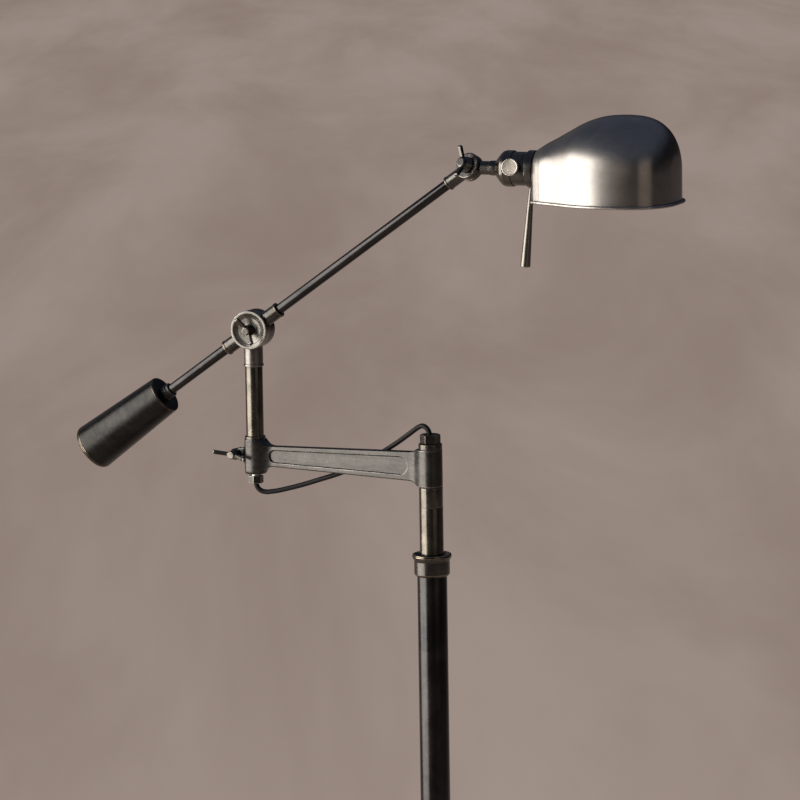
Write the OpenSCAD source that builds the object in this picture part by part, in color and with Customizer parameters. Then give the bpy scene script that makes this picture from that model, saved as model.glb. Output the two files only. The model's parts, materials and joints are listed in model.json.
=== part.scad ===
// Adjustable arm floor lamp.
// A telescopic column on a round weighted base carries a cast swing arm. A short
// post in the far end of the arm carries a disc pivot, and a balanced boom tilts
// on it: a tapered counterweight on one end, a second knuckle with the lamp head
// on the other. Millimetres, +Z up, origin at the centre of the underside of the
// base. The boom lies in a plane parallel to XZ, with the head towards +X.

/* [Base] */
// Diameter of the round base
base_d = 290; // [250:5:330]
// Height of the base at its centre
base_h = 27; // [25:1:32]

/* [Column] */
// Outside diameter of the lower column tube
lower_d = 31.75; // [31.5:0.05:32]
// Outside diameter of the sliding upper tube
upper_d = 25.4; // [25:0.1:25.8]
// Height of the underside of the height collar
collar_z = 1010.5; // [900:0.5:1050]
// Length of upper tube that shows above the collar
mast_out = 50; // [48:1:120]
// Length of the upper tube
mast_len = 384; // [360:1:420]

/* [Swing arm] */
// Distance between the column axis and the post axis
arm_len = 214; // [200:1:240]
// Direction of the arm, seen from above
arm_az = 173.5; // [165:0.5:180]
// Thickness of the web
web_t = 10; // [8:0.5:12]
// Depth of the pocket on each side of the web
pocket_d = 2; // [1:0.5:2.5]

/* [Post and pivot] */
// Outside diameter of the post tube
post_d = 19.05; // [18.8:0.05:19.2]
// Height of the boom pivot
pivot_z = 1263.7; // [1250:0.1:1300]
// Radius of the pivot discs
pivot_r = 20.75; // [20.5:0.05:21]
// Rise of the boom above the horizontal
boom_pitch = 35.4; // [30:0.1:36]

/* [Boom] */
// Outside diameter of the boom tubes
boom_d = 11.1; // [10.8:0.1:11.4]
// Distance from the pivot to the head knuckle
boom_front = 310; // [280:0.5:340]
// Distance from the pivot to the near face of the counterweight
weight_at = 129.5; // [120:0.5:140]
// Length of the counterweight
weight_l = 111; // [100:1:120]
// Diameters of the counterweight at its near and far ends
weight_d = [42.6, 52.4];
// Turn of the head knuckle about the boom
knuckle_turn = 31; // [20:1:31]

/* [Head] */
// Radius of the head knuckle discs
knuckle_r = 14.3; // [14.2:0.05:14.5]
// Radius of the lampholder housing
socket_r = 17.75; // [17.5:0.05:18]
// Wall thickness of the shade
shade_t = 1.2; // [1:0.1:1.5]
// Drop of the shade's straight skirt below the lampholder axis
skirt_h = 31; // [28:1:36]
// Length of the handle
handle_l = 84; // [70:1:95]

/* [Link lead] */
// Diameter of the lead between the column and the post
lead_d = 5.4; // [4.8:0.1:5.6]

/* [Hidden] */
$fn = 64;

R = base_d / 2;
lr = lower_d / 2;                 // lower tube, outside
li = lr - 1.6;                    // lower tube, inside
ur = upper_d / 2;                 // upper tube, outside
ui = ur - 1.5;                    // upper tube, inside
pr = post_d / 2;
br = boom_d / 2;
z_seam = collar_z + 24 + mast_out; // underside of the mast cap's shoulder
z_arm = z_seam + 21;              // top of the mast cap
z_arm0 = z_arm + 1.1;             // underside of the arm's column boss
z_arm1 = z_arm0 + 39.1;           // top of the arm's column boss
z_ring = z_arm1 + 0.3;
z_nut = z_ring + 6.4;
z_web = z_arm0 + 20.3;            // centre line of the web
post_x = arm_len * cos(arm_az);
post_y = arm_len * sin(arm_az);
z_pb0 = z_web - 22.4;             // underside of the post boss
z_pb1 = z_web + 16.9;             // top of the post boss
Pv = [post_x, post_y, pivot_z];
Kx = post_x + boom_front * cos(boom_pitch);
Kz = pivot_z + boom_front * sin(boom_pitch);
sw_r = pivot_r + 0.3;             // saddle radius at the boom pivot
sk_r = knuckle_r + 0.3;           // saddle radius at the head knuckle

steel = [0.50, 0.50, 0.50];
dark = [0.30, 0.30, 0.30];
bright = [0.72, 0.71, 0.69];
brass = [0.72, 0.58, 0.32];
black = [0.06, 0.06, 0.07];
nylon = [0.85, 0.84, 0.80];

// ---- shared forms ---------------------------------------------------------

// Plain ring: outside radius a, inside radius b, from z = c to z = d
module ring(a, b, c, d) {
  difference() {
    translate([0, 0, c]) cylinder(r = a, h = d - c);
    translate([0, 0, c - 1]) cylinder(r = b, h = d - c + 2);
  }
}

// Hexagon nut with both outer faces chamfered, from z = 0 to z = h
module hex(af, h) {
  intersection() {
    cylinder(r = af / sqrt(3), h = h, $fn = 6);
    rotate_extrude() polygon([[0, 0], [af * 0.5 - 0.2, 0],
      [af * 0.5 + 1.8, 1.1], [af * 0.5 + 1.8, h - 1.1], [af * 0.5 - 0.2, h],
      [0, h]]);
  }
}

// Wing screw: hub stands on z = 0 and points up, shank goes down
module wing_screw(span, r0, r1, h, shank_r, shank_l) {
  rotate_extrude() polygon([[0, -shank_l], [shank_r - 0.6, -shank_l],
    [shank_r, -shank_l + 0.6], [shank_r, 0], [r0, 0], [r0, 1.2],
    [r0 * 0.6 + r1 * 0.4, h * 0.3], [r1, h * 0.62], [r1, h - 1.2],
    [r1 - 1.2, h], [0, h]]);
  for (m = [0, 1]) mirror([m, 0, 0])
    rotate([90, 0, 0]) linear_extrude(4.2, center = true) hull() {
      translate([2.4, h * 0.5]) circle(r = 2, $fn = 24);
      translate([span / 2 - 2.3, h + 2.6]) circle(r = 2.3, $fn = 24);
    }
}

// Places its children on the post axis
module at_post() translate([post_x, post_y, 0]) children();
// Pivot frame: local +Z runs along the boom towards the head
module at_boom() translate(Pv) rotate([0, 90 - boom_pitch, 0]) children();
// Knuckle frame: local +Z runs along the boom, local -Y faces the wing screw
module at_knuckle() translate([Kx, post_y, Kz])
  rotate([0, 90 - boom_pitch, 0]) rotate([0, 0, -knuckle_turn]) children();
// Head frame: local +Z runs along the lampholder axis, local -X is up
module at_head() translate([Kx, post_y, Kz]) rotate([0, 90, 0]) children();

// Smooth curve through control points
function cr(a, b, c, d, t) = 0.5 * ((2 * b) + (c - a) * t
  + (2 * a - 5 * b + 4 * c - d) * t * t + (3 * b - a - 3 * c + d) * t * t * t);
function smooth(p, n) = [for (i = [0 : len(p) - 2]) for (j = [0 : n - 1])
  cr(p[max(i - 1, 0)], p[i], p[i + 1], p[min(i + 2, len(p) - 1)], j / n),
  p[len(p) - 1]];

// ---- base -----------------------------------------------------------------

module base_pad() {
  color(black) cylinder(r = R - 3, h = 2, $fn = 128);
}

module base_weight() {
  color(dark) difference() {
    rotate_extrude($fn = 128) polygon([[8.1, 12.5], [24, 12.5], [24, 2],
      [R - 1.6, 2], [R - 1.6, 10.6], [R - 3.4, 13.2], [R - 7.8, 15.9],
      [R - 16.6, 18.3], [R - 40.3, base_h - 6.2], [60, base_h - 3.2],
      [24, base_h - 1.6], [8.1, base_h - 1.5]]);
    translate([-4, 0, 1]) cube([8, R + 1, 10]);
  }
}

module base_cover() {
  color(dark) difference() {
    rotate_extrude($fn = 128) polygon([[8.3, base_h], [24, base_h],
      [60, base_h - 1.5], [R - 40, base_h - 4.5], [R - 16, 20], [R - 7, 17.5],
      [R - 2, 14.5], [R, 11], [R, 2], [R - 1.2, 2], [R - 1.2, 10.8],
      [R - 2.9, 13.6], [R - 7.4, 16.4], [R - 16.3, 18.8],
      [R - 40.1, base_h - 5.7], [60, base_h - 2.7], [24, base_h - 1.2],
      [8.3, base_h - 1.2]]);
    translate([0, R - 6, 6.8]) rotate([-90, 0, 0]) cylinder(r = 3.9, h = 8);
  }
}

module base_stem() {
  color(bright) ring(8, 5, 4, base_h + 16);
}

module base_washer() {
  color(bright) ring(17, 8.2, 11, 12.5);
}

module base_lock_nut() {
  color(bright) difference() {
    translate([0, 0, 4.5]) hex(24, 6.5);
    cylinder(r = 8, h = 14);
  }
}

module base_cord_grommet() {
  color(black) translate([0, R, 6.8]) rotate([-90, 0, 0]) difference() {
    rotate_extrude() polygon([[0, -6], [3.8, -6], [3.8, 0], [5.3, 0],
      [5.3, 1], [4.6, 1.8], [0, 1.8]]);
    translate([0, 0, -7]) cylinder(r = 2.7, h = 10);
  }
}

// ---- column ---------------------------------------------------------------

module column_foot() {
  color(dark) rotate_extrude() polygon([[8.1, base_h], [34, base_h],
    [34, base_h + 2.5], [32.5, base_h + 4], [24, base_h + 5.5],
    [20.6, base_h + 8], [19.6, base_h + 12], [19.6, base_h + 26],
    [18.6, base_h + 27.5], [lr, base_h + 27.5], [lr, base_h + 4],
    [8.1, base_h + 4]]);
}

module column_stem_nut() {
  color(bright) difference() {
    translate([0, 0, base_h + 4]) hex(24, 8);
    cylinder(r = 8, h = base_h + 20);
  }
}

module column_lower_tube() {
  color(dark) ring(lr, li, base_h + 4, collar_z + 13.5);
}

module column_guide_bush() {
  color(nylon) difference() {
    union() {
      ring(li, ur + 0.06, collar_z - 26.5, collar_z + 14);
      ring(lr - 0.4, ur + 0.06, collar_z + 13.5, collar_z + 16.5);
    }
    translate([-1, 0, collar_z - 28]) cube([2, 20, 46]);
  }
}

module height_collar() {
  color(dark) translate([0, 0, collar_z]) rotate_extrude() polygon([
    [lr + 0.08, 0], [lr + 1.3, 0], [lr + 3.1, 2.3], [lr + 3.1, 16],
    [lr + 3.7, 18], [lr + 4.5, 19.2], [lr + 5.1, 20.5], [lr + 5.25, 21.5],
    [lr + 5, 22.7], [lr + 4.3, 23.6], [lr + 3.3, 24], [lr + 2.3, 23.8],
    [lr + 1.5, 23.2], [lr - 0.3, 20.8], [lr - 1.7, 19.1], [ur + 0.4, 18.7],
    [ur + 0.4, 16.9], [lr + 0.08, 16.9]]);
}

// ---- mast -----------------------------------------------------------------

module mast_tube() {
  color(dark) ring(ur, ui, z_seam - mast_len, z_seam);
}

module mast_guide_ring() {
  color(nylon) ring(li - 0.07, ur, z_seam - mast_len, z_seam - mast_len + 12);
}

module mast_cap() {
  color(dark) rotate_extrude() polygon([[7, z_seam - 12.5], [ui, z_seam - 12.5],
    [ui, z_seam], [ur - 0.3, z_seam], [ur, z_seam + 0.4], [ur, z_arm - 0.4],
    [ur - 0.4, z_arm], [7, z_arm]]);
}

module arm_spindle() {
  color(bright) ring(7, 4, z_seam - 22, z_nut + 6);
}

module spindle_lock_nut() {
  color(bright) difference() {
    translate([0, 0, z_seam - 20.5]) hex(19, 8);
    translate([0, 0, z_seam - 24]) cylinder(r = 7, h = 20);
  }
}

module swing_washer() {
  color(black) ring(ur - 0.3, 7.2, z_arm, z_arm + 0.8);
}

module top_ring() {
  color(dark) rotate_extrude() polygon([[7, z_ring], [ur - 0.6, z_ring],
    [ur - 0.1, z_ring + 0.6], [ur - 0.1, z_nut - 1], [ur - 0.9, z_nut],
    [7, z_nut]]);
}

module top_cord_nut() {
  color(dark) difference() {
    translate([0, 0, z_nut]) rotate([0, 0, 22]) hex(19.05, 9.9);
    translate([0, 0, z_nut - 1]) cylinder(r = 7, h = 7.2);
    translate([0, 0, z_nut]) cylinder(r = 4.3, h = 12);
  }
}

// ---- swing arm ------------------------------------------------------------

// Side outline of the web with blended ends
module web_side() {
  offset(r = -7, $fn = 32) offset(delta = 7) {
    polygon([[0, z_web + 16.2], [arm_len, z_web + 10.3],
      [arm_len, z_web - 10.9], [0, z_web - 16.4]]);
    translate([-11, z_arm0 + 1]) square([22, z_arm1 - z_arm0 - 2]);
    translate([arm_len - 10, z_pb0 + 5]) square([20, z_pb1 - z_pb0 - 6]);
  }
}

module pocket_side() {
  hull() {
    translate([35.5, z_web]) circle(r = 9.5, $fn = 48);
    translate([arm_len - 26.5, z_web]) circle(r = 6.7, $fn = 48);
  }
}

module lug_side() {
  hull() {
    translate([arm_len, z_web - 13]) square([8, 24]);
    translate([arm_len + 21.5, z_web]) circle(r = 6.2, $fn = 32);
  }
}

module swing_arm() {
  color(bright) rotate([0, 0, arm_az]) difference() {
    union() {
      rotate_extrude() polygon([[0, z_arm0], [ur - 0.5, z_arm0],
        [ur, z_arm0 + 0.5], [ur, z_arm1 - 0.5], [ur - 0.5, z_arm1],
        [0, z_arm1]]);
      translate([arm_len, 0, 0]) rotate_extrude() polygon([[0, z_pb0],
        [8.7, z_pb0], [10.3, z_pb0 + 1.4], [11.3, z_pb0 + 3.4],
        [11.55, z_pb0 + 5.5], [11.55, z_pb1 - 0.5], [11.05, z_pb1],
        [0, z_pb1]]);
      rotate([90, 0, 0]) linear_extrude(web_t, center = true) web_side();
      rotate([90, 0, 0]) linear_extrude(12, center = true) lug_side();
    }
    for (m = [0, 1]) mirror([0, m, 0])
      translate([0, -web_t / 2 + pocket_d, 0]) rotate([90, 0, 0])
        linear_extrude(pocket_d + 2) pocket_side();
    translate([0, 0, z_arm0 - 1]) cylinder(r = 9.5, h = 42);
    translate([arm_len, 0, z_pb0 + 7.5]) cylinder(r = pr + 0.07, h = 40);
    translate([arm_len, 0, z_pb0 - 1]) cylinder(r = 5.08, h = 12);
    translate([arm_len + 5, -0.8, z_web - 14.5]) cube([40, 1.6, 29]);
    translate([arm_len + 21.5, 0, z_web]) rotate([90, 0, 0])
      cylinder(r = 3.08, h = 40, center = true);
  }
}

module arm_bushes() {
  color(nylon) {
    ring(9.5, 7.06, z_arm0, z_arm0 + 12);
    ring(9.5, 7.06, z_arm1 - 12, z_arm1);
  }
}

module arm_clamp_screw() {
  color(bright) rotate([0, 0, arm_az])
    translate([arm_len + 21.5, 6.3, z_web]) rotate([-90, 0, 0])
      rotate([0, 0, -10]) wing_screw(42, 6.4, 4.4, 11, 3, 11.5);
}

// Route of the link lead: along the arm, off its plane, height
lead_route = [[214, 0, 1099], [213.7, 0, 1094.5], [212.3, -0.3, 1091.2],
  [210, -0.8, 1088.6], [207, -1.5, 1087], [203.5, -2.2, 1086.4],
  [196, -3.2, 1087.2], [186, -4.5, 1089.2], [163, -7, 1095.5],
  [140, -8.6, 1103], [114, -8.9, 1112], [84, -8.9, 1125], [54, -8.9, 1143],
  [40, -8.2, 1152], [28, -6.6, 1160.2], [20.5, -5, 1165.2], [16, -4, 1168],
  [13, -3.2, 1169.4], [10, -2.5, 1170], [6.5, -1.6, 1169.2],
  [3.3, -0.8, 1166.8], [1.2, -0.3, 1163.3], [0.3, 0, 1160], [0, 0, 1156]];

function unit(v) = v / norm(v);
module link_lead() {
  c = smooth([for (p = lead_route) p + [0, 0, z_web - 1126.9]], 3);
  n = len(c);
  s = 10;
  up = [0, 1, 0];
  pts = [for (i = [0 : n - 1])
    let (t = unit(c[min(i + 1, n - 1)] - c[max(i - 1, 0)]),
         a = unit(up - (up * t) * t), b = cross(t, a))
    for (k = [0 : s - 1])
      c[i] + lead_d / 2 * (a * cos(k * 360 / s) + b * sin(k * 360 / s))];
  faces = concat([[for (k = [0 : s - 1]) k]],
    [for (i = [0 : n - 2]) for (k = [0 : s - 1])
      [i * s + k, (i + 1) * s + k, (i + 1) * s + (k + 1) % s,
       i * s + (k + 1) % s]],
    [[for (k = [s - 1 : -1 : 0]) (n - 1) * s + k]]);
  color(black) rotate([0, 0, arm_az]) polyhedron(points = pts, faces = faces);
}

// ---- post -----------------------------------------------------------------

module post_tube() {
  color(dark) at_post() ring(pr, pr - 1.6, z_pb0 + 7.8, pivot_z - 22);
}

module post_plug() {
  color(bright) at_post() rotate_extrude() polygon([[3, z_pb0 - 7],
    [5, z_pb0 - 7], [5, z_pb0 + 7.8], [pr - 1.6, z_pb0 + 7.8],
    [pr - 1.6, z_pb0 + 22], [3, z_pb0 + 22]]);
}

module post_collar() {
  color(dark) at_post() rotate_extrude() polygon([[pr, z_pb1 + 0.3],
    [10.9, z_pb1 + 0.3], [11.3, z_pb1 + 0.8], [11.3, z_pb1 + 3],
    [10.4, z_pb1 + 4.1], [pr, z_pb1 + 4.1]]);
}

module post_cord_nut() {
  color(bright) at_post() difference() {
    translate([0, 0, z_pb0 - 8.6]) rotate([0, 0, 33]) hex(14.3, 8.3);
    translate([0, 0, z_pb0 - 7]) cylinder(r = 5, h = 10);
    translate([0, 0, z_pb0 - 10]) cylinder(r = 3.4, h = 12);
  }
}

// ---- boom pivot -----------------------------------------------------------

module pivot_front_disc() {
  color(bright) translate(Pv) difference() {
    union() {
      rotate([90, 0, 0]) rotate_extrude() polygon([[0, 0.15], [pivot_r, 0.15],
        [pivot_r, 11.4], [pivot_r - 0.4, 12.2], [pivot_r - 1.2, 12.5],
        [0, 12.5]]);
      difference() {
        rotate_extrude() polygon([[0, -40.4], [10.5, -40.4], [10.9, -39.8],
          [10.9, -38.2], [10.3, -37.4], [10.25, -37], [10.25, -8], [0, -8]]);
        translate([0, -0.15, 0]) rotate([-90, 0, 0]) cylinder(r = sw_r, h = 20);
      }
    }
    rotate([90, 0, 0]) rotate_extrude() polygon([[0, 9.6], [8, 9.6],
      [pivot_r - 7.6, 10.1], [pivot_r - 5.6, 10.7], [pivot_r - 4.8, 11.5],
      [pivot_r - 3.7, 11.9], [pivot_r - 2.8, 12.6], [pivot_r - 2.8, 14],
      [0, 14]]);
    translate([0, 0, -60]) cylinder(r = pr, h = 38);
    rotate([90, 0, 0]) cylinder(r = 4.08, h = 30, center = true);
    rotate([90, 0, 0]) cylinder(r = 13.2, h = 1.1, center = true);
  }
}

module pivot_washer() {
  color(black) translate(Pv) rotate([90, 0, 0]) ring(13, 4.3, -0.45, 0.45);
}

module pivot_rear_disc() {
  color(dark) difference() {
    union() {
      translate(Pv) rotate([-90, 0, 0]) rotate_extrude() polygon([[0, 0.15],
        [pivot_r, 0.15], [pivot_r, 10.6], [pivot_r - 0.7, 11.9],
        [pivot_r - 2.2, 12.5], [0, 12.5]]);
      difference() {
        at_boom() for (m = [0, 1]) mirror([0, 0, m]) rotate_extrude()
          polygon([[0, 8], [7.95, 8], [7.95, 35.4], [8.5, 36.2], [8.5, 37.6],
            [8, 38.4], [0, 38.4]]);
        translate(Pv + [0, 0.15, 0]) rotate([90, 0, 0])
          cylinder(r = sw_r, h = 20);
      }
    }
    at_boom() {
      translate([0, 0, 22]) cylinder(r = br + 0.06, h = 20);
      translate([0, 0, -42]) cylinder(r = br, h = 20);
    }
    translate(Pv) rotate([90, 0, 0]) {
      cylinder(r = 4.08, h = 30, center = true);
      cylinder(r = 13.2, h = 1.1, center = true);
      translate([0, 0, -13]) cylinder(r = 13 / sqrt(3), h = 6, $fn = 6);
    }
  }
}

module pivot_nut() {
  color(bright) translate(Pv) rotate([-90, 0, 0]) difference() {
    translate([0, 0, 7]) cylinder(r = 13 / sqrt(3), h = 5.3, $fn = 6);
    cylinder(r = 4.08, h = 20);
  }
}

module pivot_wing_screw() {
  color(bright) translate(Pv + [0, -9.9, 0]) rotate([90, 0, 0])
    rotate([0, 0, -57]) wing_screw(33.5, 6.2, 4.4, 11.5, 4, 21.5);
}

// ---- boom and counterweight -----------------------------------------------

module boom_rear_tube() {
  color(dark) at_boom() ring(br, br - 1.35, -weight_at - 60, -22);
}

module weight_collar() {
  color(black) at_boom() rotate([180, 0, 0]) translate([0, 0, weight_at - 10])
    rotate_extrude() polygon([[br, 0], [7.2, 0], [8, 0.8], [8, 2.7],
      [7, 3.3], [7, 4.1], [8, 4.7], [8, 6.5], [7, 7.1], [7, 7.9], [8, 8.5],
      [8, 10], [br, 10]]);
}

module counterweight() {
  a = weight_d[0] / 2;
  b = weight_d[1] / 2;
  L = weight_l;
  color(dark) at_boom() rotate([180, 0, 0]) translate([0, 0, weight_at])
    difference() {
      rotate_extrude($fn = 96) polygon([[0, 0], [a - 1.4, 0], [a - 0.4, 0.4],
        [a, 1.4], [b - 0.2, L - 4.6], [b - 0.5, L - 2.8], [b - 1.5, L - 1.3],
        [b - 3, L - 0.4], [b - 5, L], [0, L]]);
      translate([0, 0, -1]) cylinder(r = br, h = 61);
      translate([0, 0, 16]) rotate([0, 90, 0]) cylinder(r = 3, h = 40);
    }
}

module weight_set_screw() {
  color(black) at_boom() rotate([180, 0, 0])
    translate([0, 0, weight_at + 16]) rotate([0, 90, 0]) difference() {
      translate([0, 0, br]) cylinder(r = 3, h = 14);
      translate([0, 0, br + 10]) cylinder(r = 1.7, h = 6, $fn = 6);
    }
}

module boom_front_tube() {
  color(dark) at_boom() ring(br, br - 1.35, 22.3, boom_front - 16);
}

// ---- head knuckle ---------------------------------------------------------

module knuckle_front() {
  color(dark) at_knuckle() difference() {
    union() {
      rotate([90, 0, 0]) rotate_extrude() polygon([[0, 0.15],
        [knuckle_r, 0.15], [knuckle_r, 5.6], [knuckle_r - 0.5, 6.6],
        [knuckle_r - 1.6, 7], [0, 7]]);
      difference() {
        rotate_extrude() polygon([[0, -31], [7.3, -31], [7.8, -30.4],
          [7.8, -29.2], [7.3, -28.4], [7.3, -5], [0, -5]]);
        translate([0, -0.15, 0]) rotate([-90, 0, 0])
          cylinder(r = sk_r, h = 20);
      }
    }
    translate([0, 0, -40]) cylinder(r = br, h = 24);
    rotate([90, 0, 0]) cylinder(r = 3.08, h = 30, center = true);
    rotate([90, 0, 0]) cylinder(r = 9.2, h = 1.1, center = true);
  }
}

module knuckle_washer() {
  color(black) at_knuckle() rotate([90, 0, 0]) ring(9, 3.3, -0.45, 0.45);
}

module knuckle_wing_screw() {
  color(dark) at_knuckle() translate([0, -7.5, 0]) rotate([90, 0, 0])
    rotate([0, 0, -29]) wing_screw(34.5, 9, 5.2, 10.5, 3, 12.9);
}

module knuckle_rear() {
  color(dark) difference() {
    union() {
      at_knuckle() rotate([-90, 0, 0]) rotate_extrude() polygon([[0, 0.15],
        [knuckle_r, 0.15], [knuckle_r, 2.6], [knuckle_r - 0.5, 4.2],
        [knuckle_r - 1.6, 5.7], [knuckle_r - 3.4, 6.7],
        [knuckle_r - 5.4, 7], [0, 7]]);
      difference() {
        at_head() rotate_extrude() polygon([[0, 3], [7.2, 3], [7.2, 22.6],
          [7.6, 22.9], [7.6, 23.5], [7.2, 23.8], [0, 23.8]]);
        at_knuckle() translate([0, 0.15, 0]) rotate([90, 0, 0])
          cylinder(r = sk_r, h = 20);
      }
    }
    at_knuckle() rotate([90, 0, 0]) {
      cylinder(r = 3.08, h = 12, center = true);
      cylinder(r = 9.2, h = 1.1, center = true);
    }
    at_head() translate([0, 0, 13]) cylinder(r = 4, h = 20);
  }
}

// ---- lamp head ------------------------------------------------------------

module swivel_pin() {
  color(bright) at_head() ring(4, 2.6, 13, 42);
}

module swivel_nut() {
  color(bright) at_head() difference() {
    translate([0, 0, 35.3]) hex(11.5, 4.5);
    cylinder(r = 4, h = 50);
  }
}

module head_swivel() {
  color(dark) at_head() rotate_extrude() polygon([[4.07, 24.1], [7.4, 24.1],
    [7.9, 24.6], [7.9, 29.2], [7.4, 30.8], [6, 30.8], [6, 35],
    [4.07, 35]]);
}

module socket_cup() {
  color(dark) at_head() rotate_extrude() polygon([[6, 30.8], [9.2, 30.8],
    [10.6, 31.7], [16.6, 37], [18.2, 38.9], [19.1, 41.6], [19.1, 49],
    [18.6, 49.8], [socket_r, 49.8], [socket_r, 44], [15.8, 44],
    [15.8, 40.6], [10.8, 36], [9.6, 35], [6, 35]]);
}

// Places its children on the dimmer axis: local +Z points out of the housing
module at_dimmer() at_head() translate([0, 0, 53.2]) rotate([0, 0, -9])
  rotate([90, 0, 0]) children();

module socket_housing() {
  color(dark) difference() {
    at_head() rotate_extrude() polygon([[socket_r - 1.4, 44], [socket_r, 44],
      [socket_r, 66], [15.4, 66], [15.4, 80], [14.2, 80], [14.2, 64.5],
      [socket_r - 1.4, 64.5]]);
    at_dimmer() cylinder(r = 3.07, h = 30);
  }
}

module dimmer_switch() {
  color(black) at_dimmer() difference() {
    translate([0, 0, -3]) cylinder(r = 6.1, h = 17.6);
    translate([0, 0, 6.5]) cylinder(r = 3.07, h = 12);
  }
}

module dimmer_knob() {
  color(bright) at_dimmer() rotate_extrude() polygon([[0, 7], [3, 7],
    [3, 20], [8.9, 20], [9.2, 20.4], [9.2, 24.6], [8.8, 25.2], [0, 25.2]]);
}

module lampholder() {
  color(nylon) at_head() difference() {
    rotate_extrude() polygon([[0, 59.5], [16.3, 59.5], [16.3, 64.5],
      [14.2, 64.5], [14.2, 77], [0, 77]]);
    translate([0, 0, 62.5]) cylinder(r = 13.45, h = 20);
  }
}

module lamp_contact() {
  color(brass) at_head() translate([0, 0, 62.5]) cylinder(r = 4.5, h = 1.4);
}

module shade_ring() {
  color(dark) difference() {
    at_head() rotate_extrude() polygon([[15.4, 66], [19, 66], [19.6, 66.6],
      [19.6, 73.4], [19, 74.1], [15.4, 74.1]]);
    at_handle() cylinder(r = 1.9, h = 30);
  }
}

module shade_retainer() {
  color(bright) at_head() ring(16.7, 15.4, 75.7, 79.2);
}

// Control points of the shade's outline: distance along its axis, half width
shade_ctl = [[74.2, 16.4], [74.9, 18.4], [76.8, 20.6], [80, 22.8], [84, 25.3],
  [88.5, 28], [100.2, 34], [112.5, 40.8], [127.5, 48.9], [141.6, 54.3],
  [155.6, 57.3], [172.8, 58.4], [189.1, 57.5], [200.1, 54.9], [208.3, 50.8],
  [215.3, 44.8], [220.2, 38], [223.5, 30.8], [225.6, 22.8], [226.8, 15],
  [227.3, 0]];
shade_s = shade_ctl[0][0];
shade_out = smooth(shade_ctl, 2);
// The same outline moved inwards by the wall thickness
function edge_n(p, i) = let (t = unit(p[min(i + 1, len(p) - 1)]
  - p[max(i - 1, 0)])) [t[1], -t[0]];
shade_in = [for (i = [0 : len(shade_out) - 1]) let (q = shade_out[i],
  d = i == len(shade_out) - 1 ? [-1, 0] : edge_n(shade_out, i))
  [max(q[0] + shade_t * d[0], shade_s + shade_t), max(q[1] + shade_t * d[1], 0)]];

module shade_plan(p) {
  polygon(concat(p, [for (i = [len(p) - 2 : -1 : 0]) [p[i][0], -p[i][1]]]));
}

module shade() {
  n = len(shade_out);
  color(bright) translate([Kx, post_y, Kz]) difference() {
    union() {
      rotate([0, 90, 0]) rotate([0, 0, 90]) rotate_extrude(angle = 180)
        polygon(concat([for (p = shade_out) [p[1], p[0]]],
          [for (i = [n - 1 : -1 : 0]) [shade_in[i][1], shade_in[i][0]]],
          [[15.5, shade_s + shade_t], [15.5, shade_s]]));
      translate([0, 0, -skirt_h]) linear_extrude(skirt_h) difference() {
        shade_plan(shade_out);
        shade_plan(shade_in);
      }
      translate([0, 0, -skirt_h - 3]) linear_extrude(3.2) difference() {
        intersection() {
          offset(r = 3.4, $fn = 24) shade_plan(shade_out);
          translate([shade_s, -100]) square([200, 200]);
        }
        shade_plan(shade_in);
      }
    }
    rotate([0, 90, 0]) translate([0, 0, 60]) cylinder(r = 15.5, h = 18);
  }
}

// Places its children on the handle axis: local +Z points down the handle
module at_handle() at_head() translate([0, 0, 70]) rotate([0, 90 + 5.4, 0])
  children();

module handle() {
  color(bright) at_handle() rotate_extrude() polygon([[0, 17.8], [1.9, 17.8],
    [1.9, 20.4], [2.4, 20.5], [2.6, 24], [5.3, 17.5 + handle_l],
    [5.3, 18.9 + handle_l], [4.8, 19.4 + handle_l], [0, 19.4 + handle_l]]);
}

module bulb_cap() {
  color(bright) at_head() rotate_extrude() polygon([[0, 64.2], [5, 64.2],
    [10, 67], [13.1, 68], [13.1, 87], [12.3, 87], [12.3, 68.8], [9.7, 67.9],
    [4.8, 65.2], [0, 65.2]]);
}

bulb_out = smooth([[13.1, 87], [14, 92], [18, 102], [24, 113], [28.6, 124],
  [30, 137], [28, 149], [22.5, 158.5], [13, 165], [0, 167.3]], 2);
bulb_in = [for (p = bulb_out) p[0] == 0 ? [0, p[1] - 1]
  : [p[0] - 0.9, p[1] > 137 ? p[1] - (p[1] - 137) / 30 : p[1]]];

module bulb_glass() {
  n = len(bulb_out);
  color([1, 0.98, 0.92, 0.6]) at_head() rotate_extrude()
    polygon(concat(bulb_out, [for (i = [n - 1 : -1 : 0]) bulb_in[i]]));
}

base_pad();
base_weight();
base_cover();
base_stem();
base_washer();
base_lock_nut();
base_cord_grommet();
column_foot();
column_stem_nut();
column_lower_tube();
column_guide_bush();
height_collar();
mast_tube();
mast_guide_ring();
mast_cap();
arm_spindle();
spindle_lock_nut();
swing_washer();
top_ring();
top_cord_nut();
swing_arm();
arm_bushes();
link_lead();
arm_clamp_screw();
post_tube();
post_plug();
post_collar();
post_cord_nut();
pivot_front_disc();
pivot_washer();
pivot_rear_disc();
pivot_nut();
pivot_wing_screw();
boom_rear_tube();
weight_collar();
counterweight();
weight_set_screw();
boom_front_tube();
knuckle_front();
knuckle_washer();
knuckle_wing_screw();
knuckle_rear();
swivel_pin();
swivel_nut();
head_swivel();
socket_cup();
socket_housing();
dimmer_switch();
dimmer_knob();
lampholder();
lamp_contact();
shade_ring();
shade();
shade_retainer();
handle();
bulb_cap();
bulb_glass();
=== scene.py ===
import json
import math

import bmesh
import bpy
import numpy as np
from mathutils import Matrix, Vector


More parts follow.
